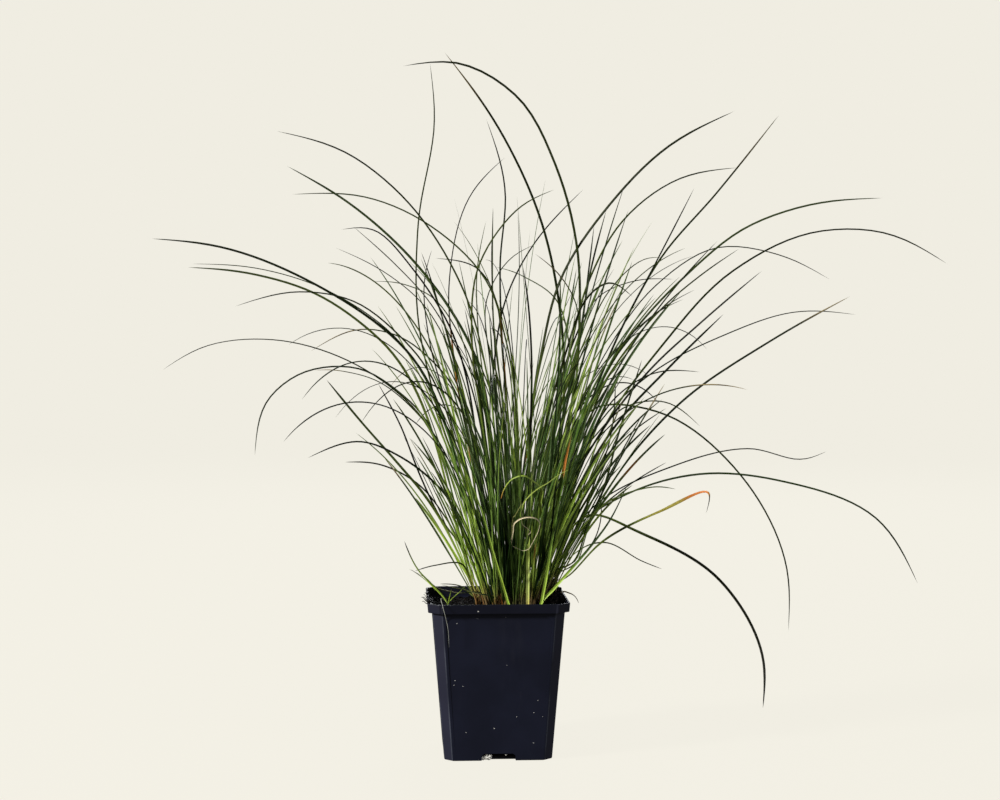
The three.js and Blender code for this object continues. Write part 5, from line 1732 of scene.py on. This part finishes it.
def make_litter(settings):
    """Crumbs and root fibres on the soil and the rim."""
    chance = random.Random("litter")
    skin = Skin(("tone",))
    for place in scatter(settings.crumbs, chance):
        add_crumb(skin, place, drawn_size(chance, *SOIL_CRUMB), chance)
    for cx, cy, cz, rx, ry, rz in CLODS:
        for _ in range(settings.crumbs // CLOD_CRUMBS):
            a, b = chance.uniform(0, 2 * math.pi), chance.uniform(*CLOD_CRUMB_RISE)
            flat = math.sqrt(max(0, 1 - b * b))
            place = (cx + rx * flat * math.cos(a), cy + ry * flat * math.sin(a), cz + rz * b - CRUMB_SINK)
            if max(abs(place[0]), abs(place[1])) < RIM_HALF - WALL - CRUMB_ROOM:
                add_crumb(skin, place, drawn_size(chance, *CLOD_CRUMB), chance, flat=1)
    for x, y in RIM_CRUMBS:
        for _ in range(CRUMBS_PER_HEAP):
            at = (x + chance.uniform(*HEAP_ACROSS), y + chance.uniform(*HEAP_ALONG), POT_HEIGHT)
            add_crumb(skin, at, chance.uniform(*HEAP_CRUMB), chance)
    for foot, tip in RIM_FIBRES:
        path = np.linspace(foot, tip, RIM_FIBRE_POINTS)
        path[:, 2] += RIM_FIBRE_WAVE * np.sin(RIM_FIBRE_TURN * np.arange(RIM_FIBRE_POINTS))
        add_thread(skin, refine(path), chance.uniform(*RIM_FIBRE_RADIUS), RIM_FIBRE_TONE)
    for place in scatter(settings.fibres, chance):
        path = root_path(place, chance.uniform(*FIBRE_LENGTH), chance)
        add_thread(skin, path, chance.uniform(*FIBRE_RADIUS), chance.uniform(*FIBRE_TONE))
    return skin.build("peat_litter", crumb_finish(settings), smooth=40)


def make_perlite(settings):
    """White grains in the soil and in the front drain notch, and dust specks on the pot's front."""
    chance = random.Random("perlite")
    skin = Skin(("dusty",))
    for place in scatter(settings.perlite, chance):
        size = chance.uniform(*GRAIN_SIZE)
        points, faces = rough_ball(scaled(GRAIN_SHAPE, size), 2, chance)
        points = turned(points, chance) + np.array(place) + np.array([0, 0, size * GRAIN_LIFT])
        skin.add(points, faces, dusty=chance.uniform(*GRAIN_DUST))
    sill = -body_half(0)
    for x, z, size in NOTCH_GRIT:
        points, faces = rough_ball(scaled(GRIT_SHAPE, size), 3, chance, GRIT_DEPTH)
        points = points + np.array([x, sill + size * GRIT_SHAPE[1] + GRIT_INSET, z])
        points[:, 2] = np.maximum(points[:, 2], GRIT_ABOVE_GROUND)
        skin.add(points, faces)
    for x, z in FRONT_SPECKS:
        size = chance.uniform(*SPECK_SIZE)
        points, faces = rough_ball((size, SPECK_DEPTH, size * chance.uniform(*SPECK_HEIGHT)), 2, chance)
        skin.add(points + front_of_pot(x, z), faces, dusty=chance.uniform(*SPECK_DUST))
    return skin.build("perlite", perlite_finish(), smooth=60)


# Leaves.


class LooseLeaf(NamedTuple):
    """A leaf at the front that has no solid. Its points run from base to tip, as seen from the front."""

    points: tuple
    depth: float
    width: float
    tones: tuple
    dry: float = 0
    russet: float = 0
    russet_at: float = 0.5
    russet_reach: float = 0.07
    twist: float = 0.3


DRY_LOOP = (
    *((6.9, 122), (7.3, 132.4), (8.6, 141.4), (9.9, 147.4), (13.6, 149.9), (18.9, 150.9), (23.3, 149.9)),
    *((25.5, 147.4), (25.2, 142.9), (23, 137.6), (20.7, 133.2), (18.1, 129.5), (15.1, 128.6), (11.4, 130.2)),
    (8, 131.7),
)
BENT_LEAF = ((28, 122), (26.4, 158), (22.5, 173.6), (14.9, 178), (8.4, 176), (3.2, 170), (0.65, 162.5))
THIN_ARCH = (
    *((15, 134), (14.7, 145.9), (13.7, 153.4), (15.5, 160), (19.6, 165.2)),
    *((25.9, 170.2), (31.5, 173.5), (38.3, 178.7), (44.7, 181.9)),
)
HOOKED_LEAF = ((7.1, 128), (8.4, 148.8), (11.4, 154.8), (13.6, 159.2), (13.2, 162.2), (10.6, 166))
CRUMPLED_LEAF = ((19, 128), (18.4, 138), (17.5, 143.7), (14.6, 146), (13.9, 148.2), (14.4, 152), (13.6, 156))
ORANGE_STREAK = ((34, 140), (40, 172), (41.6, 181.2), (42.7, 187.6), (44.7, 197.3), (47, 208))
MIDDLE_STALK = ((18, 88), (18.2, 108), (18.6, 138), (19.6, 161), (22, 187), (24.6, 212))
LEFT_STALK = ((7.2, 88), (5.2, 95), (0.8, 110), (-3.4, 124), (-13.2, 158.6), (-25, 186))
RIGHT_STALK = (
    *((25.6, 88), (27.2, 95), (34.4, 102.8), (38.9, 108)),
    *((48.6, 119), (59.6, 132), (70, 146), (82, 170)),
)
UPRIGHT_STALK = ((25.4, 88), (27, 95), (29.2, 106), (31.5, 120), (35, 142), (41, 172))
FALLEN_BLADE = ((-15.6, 100.6), (-22, 102.6), (-28.5, 104), (-38, 106))
GREY_BLADE = ((-29, 101), (-39.5, 103.5), (-48.6, 110.6), (-59, 116.4))
LOOSE_LEAVES = (
    LooseLeaf(DRY_LOOP, -74, 1.15, (0.93, 0.92), dry=1, twist=1.1),
    LooseLeaf(BENT_LEAF, -78, 2.8, (0.6, 0.75), 0.1, russet=0.8, russet_at=1, russet_reach=0.05, twist=0.5),
    LooseLeaf(THIN_ARCH, -84, 1.35, (0.8, 0.8), dry=0.3, twist=0.8),
    LooseLeaf(HOOKED_LEAF, -82, 0.9, (0.8, 0.8), dry=0.7, twist=1),
    LooseLeaf(CRUMPLED_LEAF, -76, 0.9, (0.95, 0.95), dry=1, twist=1.2),
    LooseLeaf(ORANGE_STREAK, -98, 3.2, (1, 0.3), russet=0.85, russet_at=0.84, russet_reach=0.09),
    LooseLeaf(MIDDLE_STALK, -54, 2.3, (0.87, 0.4), dry=0.3, russet=0.4, russet_at=0),
    LooseLeaf(LEFT_STALK, -62, 1.8, (0.8, 0.6)),
    LooseLeaf(RIGHT_STALK, -48, 2, (0.8, 0.1), twist=0.5),
    LooseLeaf(UPRIGHT_STALK, -50, 2, (0.8, 0.5)),
    LooseLeaf(FALLEN_BLADE, -34, 1, (0.3, 0.3), dry=0.4, twist=1),
    LooseLeaf(GREY_BLADE, -34, 0.8, (0.3, 0.3), dry=0.7, twist=1.6),
)
# Those whose first point is this low grow out of the soil at the front.
ROOTED_BELOW = 90
FRONT_ROOTS = -31
# Others leave a shoot near the front, this far from the crown's middle as a share of its half depth.
FRONT_SHOOTS = 0.8
LOOSE_STEPS = 6
LEAST_RISE = 20
# A dry leaf curled over the right of the rim.
RIM_CURL = (
    *((38, -14, 99), (43, -13.5, 103.5), (46.3, -13, 102.6)),
    *((49.3, -12.5, 101.2), (51.8, -12, 98), (52.6, -12, 95.8)),
)
RIM_CURL_START = (0.5, 0, 1)
RIM_CURL_STEPS = 16
# A loose leaf's finish runs as on the middle of a rooted blade.
LOOSE_SHARE = (0.2, 0.5)
LOOSE_RISE = (30, 130)
LOOSE_DUSK = 0.1
LOOSE_TAPER = 0.8
LOOSE_FOLD = 0.2
LOOSE_ROLL = 0.3
LOOSE_FACING = (0.01, -1, 0.02)
TONES_PART = (0.2, 0.6)
# The first part of a loose leaf that is painted in shade among the blades, over how much it comes out, and
# its tone there.
HIDDEN_PART = 0.22
SHOWN_OVER = 0.15
HIDDEN_SHADE_TONE = 0.15


def lay_loose_leaf(skin, path, leaf, hidden=0.0):
    """A loose leaf along a path, of which a first part is painted dark, as shade among the blades."""
    path = refine(np.asarray(path, float))
    share = np.linspace(0, 1, len(path))
    halves = leaf.width / 2 * (1 - LOOSE_TAPER * share**3)
    level = np.ones(len(path))
    # Over its first part the leaf is painted in shade: its tone is lowered and it shows no dry straw.
    out_of_shade = rising(share, hidden, hidden + SHOWN_OVER) if hidden else level
    marks = {
        "share": between(*LOOSE_SHARE, share),
        "rise": between(*LOOSE_RISE, share),
        "tone": between(*leaf.tones, rising(share, *TONES_PART)) * between(HIDDEN_SHADE_TONE, 1, out_of_shade),
        "dry": leaf.dry * out_of_shade,
        "warm": leaf.russet * bells(share, leaf.russet_at, leaf.russet_reach),
        "dusk": level * LOOSE_DUSK,
    }
    rolls = LOOSE_ROLL + leaf.twist * share
    lay_blade(skin, path, np.array(LOOSE_FACING), halves, level * LOOSE_FOLD, rolls, marks)


def leaf_path(leaf, foot_depth):
    """A loose leaf's points in space: it comes forward as it rises, from a depth at its foot."""
    height = max(*(z for _, z in leaf.points), POT_HEIGHT + LEAST_RISE) - POT_HEIGHT
    path = []
    for i, (x, z) in enumerate(leaf.points):
        forward = clamp((z - POT_HEIGHT) / height, 0, 1) * min(1, i / 2)
        path.append(sighted((x, z), between(foot_depth, leaf.depth, forward)))
    return path


def make_loose_leaves(material, clump):
    """Dry, bent and bright leaves at the front of the clump."""
    skin = Skin(LEAF_MARKS)
    for leaf in LOOSE_LEAVES:
        steps = LOOSE_STEPS * len(leaf.points)
        if leaf.points[0][1] < ROOTED_BELOW:
            lay_loose_leaf(skin, spline_trace(leaf_path(leaf, FRONT_ROOTS), (0, 0, 1), steps), leaf)
            continue
        lowest = sighted(leaf.points[0], 0)
        root_x = CROWN_X + (lowest[0] - CROWN_X) / spread_at(lowest[2])
        stand = nearest_stands(clump.stands, root_x, CROWN_Y - FRONT_SHOOTS * CROWN_HALF_Y)[0]
        start = stand.axis(stand.height / 2)
        trace = spline_trace([start, *leaf_path(leaf, stand.y)], (stand.lean_x, stand.lean_y, 1), steps)
        lay_loose_leaf(skin, trace, leaf, HIDDEN_PART)
    curl = LooseLeaf(RIM_CURL, 0, 1.3, (0.5, 0.5), dry=1, twist=1.6)
    lay_loose_leaf(skin, spline_trace(RIM_CURL, RIM_CURL_START, RIM_CURL_STEPS), curl)
    return skin.build("loose_leaves", material)


# Fine blades lean across the clump, against their tuft's own lean.
FINE_LEAVE = (0.3, 0.8)
FINE_STRAY = 0.15
FINE_CROSSING = (0.3, 1.3)
FINE_DEEP = (0.2, 1)
FINE_LENGTH = (150, 290)
FINE_BEND = (0.05, 0.9)
FINE_TURN = 0.8
FINE_POWER = 2.2
FINE_WIDTH = (0.7, 1.1)


def make_fine_blades(settings, material, clump):
    """Fine blades that cross through the clump, too thin for a solid."""
    skin = Skin(LEAF_MARKS)
    for k in range(settings.fine_blades):
        chance = random.Random(f"fine {k}")
        stand = chance.choice(clump.stands[:TUFTS])
        start = stand.axis(stand.height * chance.uniform(*FINE_LEAVE))
        across = chance.uniform(-FINE_STRAY, FINE_STRAY) - stand.lean_x * chance.uniform(*FINE_CROSSING)
        deep = stand.lean_y * chance.uniform(*FINE_DEEP)
        heading, lean = math.atan2(deep, across), math.atan(math.hypot(across, deep))
        length, bend = chance.uniform(*FINE_LENGTH), chance.uniform(*FINE_BEND)
        turn = chance.uniform(-FINE_TURN, FINE_TURN)
        trace = arch_trace(start, lean, heading, turn, length, bend, FINE_POWER)
        blade = Blade(stand, trace, 1, chance.uniform(*FINE_WIDTH), chance.uniform(0, math.pi), "fine", k)
        dress_blade(skin, blade, settings)
    return skin.build("fine_blades", material)


def make_tuft(stand, blades, settings, material):
    """One tuft in place of its solid."""
    skin = Skin(LEAF_MARKS)
    for blade in blades:
        dress_blade(skin, blade, settings)
    chance = random.Random(stand.name)
    if stand.blades:
        dress_bracts(skin, stand, BRACTS_THIN if stand.blades < BLADES_PER_TUFT else BRACTS, chance)
    points = np.array(skin.points) * MM
    low, high = (np.array(corner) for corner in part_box(stand.name))
    under, over = low - points.min(0), points.max(0) - high
    if max(*under, *over) > BOX_SLACK * MM:
        raise RuntimeError(f"{stand.name} leaves its solid's box, by metres: {under} {over}")
    return skin.build(f"sedge_{stand.name}", material)


# The studio.

CAMERA_LENS = 69.4
CAMERA_RAISE = 25
CAMERA_DROP = -0.0704
CAMERA_SEES = (0.01, 60)
FLOOR_RINGS = (60, 600, 1600, 3400)
BOWL_RADIUS = 6200
BOWL_HEIGHT = 5200
BOWL_STEPS = 16
BOWL_SECTORS = 72
# Lamps: place, size and colour. All face the middle of the clump.
LAMP_TARGET = (0, 0, 230)
LAMPS = {
    "key": ((-2200, -1080, 1180), 480, (1, 0.98, 0.93)),
    "fill": ((1700, -1200, 900), 1400, (0.93, 0.96, 1)),
    "back": ((300, 1900, 1500), 1400, (0.95, 0.97, 1)),
}


def make_bowl(settings):
    """A round studio floor that curves up into the backdrop."""
    profile = [(radius, 0) for radius in FLOOR_RINGS]
    flat = FLOOR_RINGS[-1]
    for k in range(1, BOWL_STEPS + 1):
        a = math.pi / 2 * k / BOWL_STEPS
        profile.append((flat + (BOWL_RADIUS - flat) * math.sin(a), BOWL_HEIGHT * (1 - math.cos(a))))
    points = []
    for radius, z in profile:
        around = [2 * math.pi * k / BOWL_SECTORS for k in range(BOWL_SECTORS)]
        points += [(radius * MM * math.cos(a), radius * MM * math.sin(a), z * MM) for a in around]
    faces = [tuple(range(BOWL_SECTORS))]
    for ring in range(len(profile) - 1):
        for i in range(BOWL_SECTORS):
            here = ring * BOWL_SECTORS + i
            following = ring * BOWL_SECTORS + (i + 1) % BOWL_SECTORS
            faces.append((here, here + BOWL_SECTORS, following + BOWL_SECTORS, following))
    mesh = bpy.data.meshes.new("studio_floor")
    mesh.from_pydata(points, [], faces)
    mesh.shade_smooth()
    mesh.materials.append(ground_finish(settings))
    return show("studio_floor", mesh)


def add_lamp(name, power):
    """A round soft lamp of the studio."""
    place, size, colour = LAMPS[name]
    data = bpy.data.lights.new(name, "AREA")
    data.shape, data.size = "DISK", size * MM
    data.energy, data.color = power, colour
    lamp = bpy.data.objects.new(name, data)
    lamp.location = Vector(place) * MM
    lamp.rotation_mode = "QUATERNION"
    aim = (Vector(LAMP_TARGET) - Vector(place)).normalized()
    lamp.rotation_quaternion = aim.to_track_quat("-Z", "Y")
    bpy.context.scene.collection.objects.link(lamp)


def add_camera():
    """A camera level with the clump, a little to the right of the pot's front."""
    data = bpy.data.cameras.new("camera")
    data.lens, data.shift_y = CAMERA_LENS, CAMERA_DROP
    data.clip_start, data.clip_end = CAMERA_SEES
    camera = bpy.data.objects.new("camera", data)
    c, s = math.cos(VIEW_TURN), math.sin(VIEW_TURN)
    across, deep = VIEW_SHIFT, -VIEW_DISTANCE
    place = Vector((across * c + deep * s, deep * c - across * s, VIEW_HEIGHT + VIEW_LIFT + CAMERA_RAISE))
    camera.location = place * MM
    camera.rotation_euler = (math.pi / 2, 0, -VIEW_TURN)
    bpy.context.scene.collection.objects.link(camera)
    bpy.context.scene.camera = camera


def make_world(settings):
    world = bpy.data.worlds.new("studio air")
    world.use_nodes = True
    sky = world.node_tree.nodes["Background"]
    sky.inputs["Color"].default_value = [*settings.ground, 1]
    sky.inputs["Strength"].default_value = settings.air
    bpy.context.scene.world = world


# Settings, operators and panel.


def colour_setting(name, description, code):
    return bpy.props.FloatVectorProperty(
        name=name, description=description, subtype="COLOR", size=3, min=0, max=1, default=tint(code)
    )


def share_setting(name, description, value, top=1):
    return bpy.props.FloatProperty(
        name=name, description=description, subtype="FACTOR", min=0, max=top, default=value
    )


def power_setting(name, description, value):
    return bpy.props.FloatProperty(
        name=name, description=description, subtype="POWER", unit="POWER", min=0, default=value
    )


def count_setting(name, description, value):
    return bpy.props.IntProperty(name=name, description=description, min=0, default=value)


class PotSettings(bpy.types.PropertyGroup):
    colour: colour_setting("Plastic", "Colour of the moulded plastic", "0e1121")
    roughness: share_setting("Roughness", "Roughness of the plastic", 0.46)
    gloss: share_setting("Gloss", "Strength of the gloss on the plastic", 0.3)
    dust: share_setting("Dust", "How much dried water and dust shows", 0.05)
    # Strength of the painted highlight along the corner bends.
    bend_highlight: share_setting("Wear", "How pale the worn corner edges are", 0.22)


class SoilSettings(bpy.types.PropertyGroup):
    colour: colour_setting("Peat", "Colour of the damp peat", "080607")
    crumbs: count_setting("Crumbs", "Peat crumbs on the surface", 1500)
    fibres: count_setting("Root fibres", "Root fibres on the surface", 90)
    perlite: count_setting("Perlite", "White grains on the surface", 14)


class LeafSettings(bpy.types.PropertyGroup):
    green: colour_setting("Green", "Middle green of the blades", "446d22")
    shade: colour_setting("Deep green", "Green of the darker blades", "132a0f")
    sunlit: colour_setting("Yellow green", "Green of the brighter blades", "99b53c")
    tip: colour_setting("Tip", "Colour that a blade fades to at its tip", "37452a")
    dusk: colour_setting("Olive", "Colour of the long free blades", "11110a")
    russet: colour_setting("Russet", "Colour of the few orange touches", "cf7420")
    roughness: share_setting("Roughness", "Roughness of the blades", 0.5)
    gloss: share_setting("Gloss", "Strength of the gloss on the blades", 0.25)
    twist: bpy.props.FloatProperty(
        name="Twist", description="Most that a blade turns about its length", default=0.9, subtype="ANGLE"
    )
    dry_tips: share_setting("Dry tips", "Share of the blades with a dry tip", 0.08)
    warm_blades: share_setting("Russet blades", "Share of the blades with a russet stretch", 0.02)
    fine_blades: count_setting("Fine blades", "Thin blades that cross through the clump", 16)


class StageSettings(bpy.types.PropertyGroup):
    ground: colour_setting("Paper", "Colour of the floor and backdrop", "f1eee3")
    ground_glow: share_setting("Paper glow", "Light that the paper gives off, which keeps it even", 0.982, 2)
    ground_share: share_setting("Paper share", "How much of the lamps' light the paper throws back", 0.03)
    air: share_setting("Air", "Strength of the light from all round", 0.15, 5)
    key_power: power_setting("Key", "Power of the lamp at the left", 119)
    fill_power: power_setting("Fill", "Power of the lamp at the right", 12)
    back_power: power_setting("Back", "Power of the lamp behind", 36)


def settle_in(piece, slot, *nodes):
    """Fixes a piece to the part's one body, in place of its solids."""
    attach(piece, "root")
    if nodes:
        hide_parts(*nodes)


class SEDGE_OT_pot(bpy.types.Operator):
    """Mould the square nursery pot"""

    bl_idname = "sedge.pot"
    bl_label = "Pot"

    def execute(self, context):
        settle_in(make_pot(context.scene.sedge_pot), "pot", "pot")
        return {"FINISHED"}


class SEDGE_OT_soil(bpy.types.Operator):
    """Fill the pot with peat"""

    bl_idname = "sedge.soil"
    bl_label = "Soil"

    def execute(self, context):
        settle_in(make_soil(context.scene.sedge_soil), "soil", "soil")
        return {"FINISHED"}


class SEDGE_OT_litter(bpy.types.Operator):
    """Strew crumbs, root fibres and perlite"""

    bl_idname = "sedge.litter"
    bl_label = "Litter"

    def execute(self, context):
        settings = context.scene.sedge_soil
        settle_in(make_litter(settings), "soil")
        settle_in(make_perlite(settings), "soil")
        return {"FINISHED"}


class SEDGE_OT_tufts(bpy.types.Operator):
    """Grow every tuft, the seedling and the loose leaves"""

    bl_idname = "sedge.tufts"
    bl_label = "Leaves"

    def execute(self, context):
        settings = context.scene.sedge_leaves
        clump = Clump()
        material = leaf_finish(settings)
        for stand in [*clump.stands, clump.seedling]:
            blades = [blade for blade in clump.blades if blade.stand is stand]
            settle_in(make_tuft(stand, blades, settings, material), "leaf", stand.name)
        settle_in(make_loose_leaves(material, clump), "leaf")
        settle_in(make_fine_blades(settings, material, clump), "leaf")
        return {"FINISHED"}


class SEDGE_OT_stage(bpy.types.Operator):
    """Set up the studio floor, the lights and the camera"""

    bl_idname = "sedge.stage"
    bl_label = "Studio"

    def execute(self, context):
        settings = context.scene.sedge_stage
        bowl = make_bowl(settings)
        bowl.visible_diffuse = bowl.visible_glossy = False
        for name in LAMPS:
            add_lamp(name, getattr(settings, f"{name}_power"))
        make_world(settings)
        add_camera()
        context.scene.view_settings.view_transform = "Standard"
        return {"FINISHED"}


OPERATORS = (SEDGE_OT_pot, SEDGE_OT_soil, SEDGE_OT_litter, SEDGE_OT_tufts, SEDGE_OT_stage)
SETTINGS = {
    "sedge_pot": PotSettings,
    "sedge_soil": SoilSettings,
    "sedge_leaves": LeafSettings,
    "sedge_stage": StageSettings,
}


class SEDGE_PT_sidebar(bpy.types.Panel):
    """The pieces of the potted sedge and their settings"""

    bl_idname = "SEDGE_PT_sidebar"
    bl_label = "Potted sedge"
    bl_space_type = "VIEW_3D"
    bl_region_type = "UI"
    bl_category = "Sedge"

    def draw(self, context):
        for operator in OPERATORS:
            self.layout.operator(operator.bl_idname)
        for name, group in SETTINGS.items():
            box = self.layout.box()
            for setting in group.__annotations__:
                box.prop(getattr(context.scene, name), setting)


CLASSES = (*SETTINGS.values(), *OPERATORS, SEDGE_PT_sidebar)


def register():
    for item in CLASSES:
        bpy.utils.register_class(item)
    for name, group in SETTINGS.items():
        setattr(bpy.types.Scene, name, bpy.props.PointerProperty(type=group))


def unregister():
    for name in SETTINGS:
        delattr(bpy.types.Scene, name)
    for item in reversed(CLASSES):
        bpy.utils.unregister_class(item)


def main():
    register()
    bpy.ops.sedge.pot()
    bpy.ops.sedge.soil()
    bpy.ops.sedge.litter()
    bpy.ops.sedge.tufts()
    bpy.ops.sedge.stage()


if __name__ == "__main__":
    main()
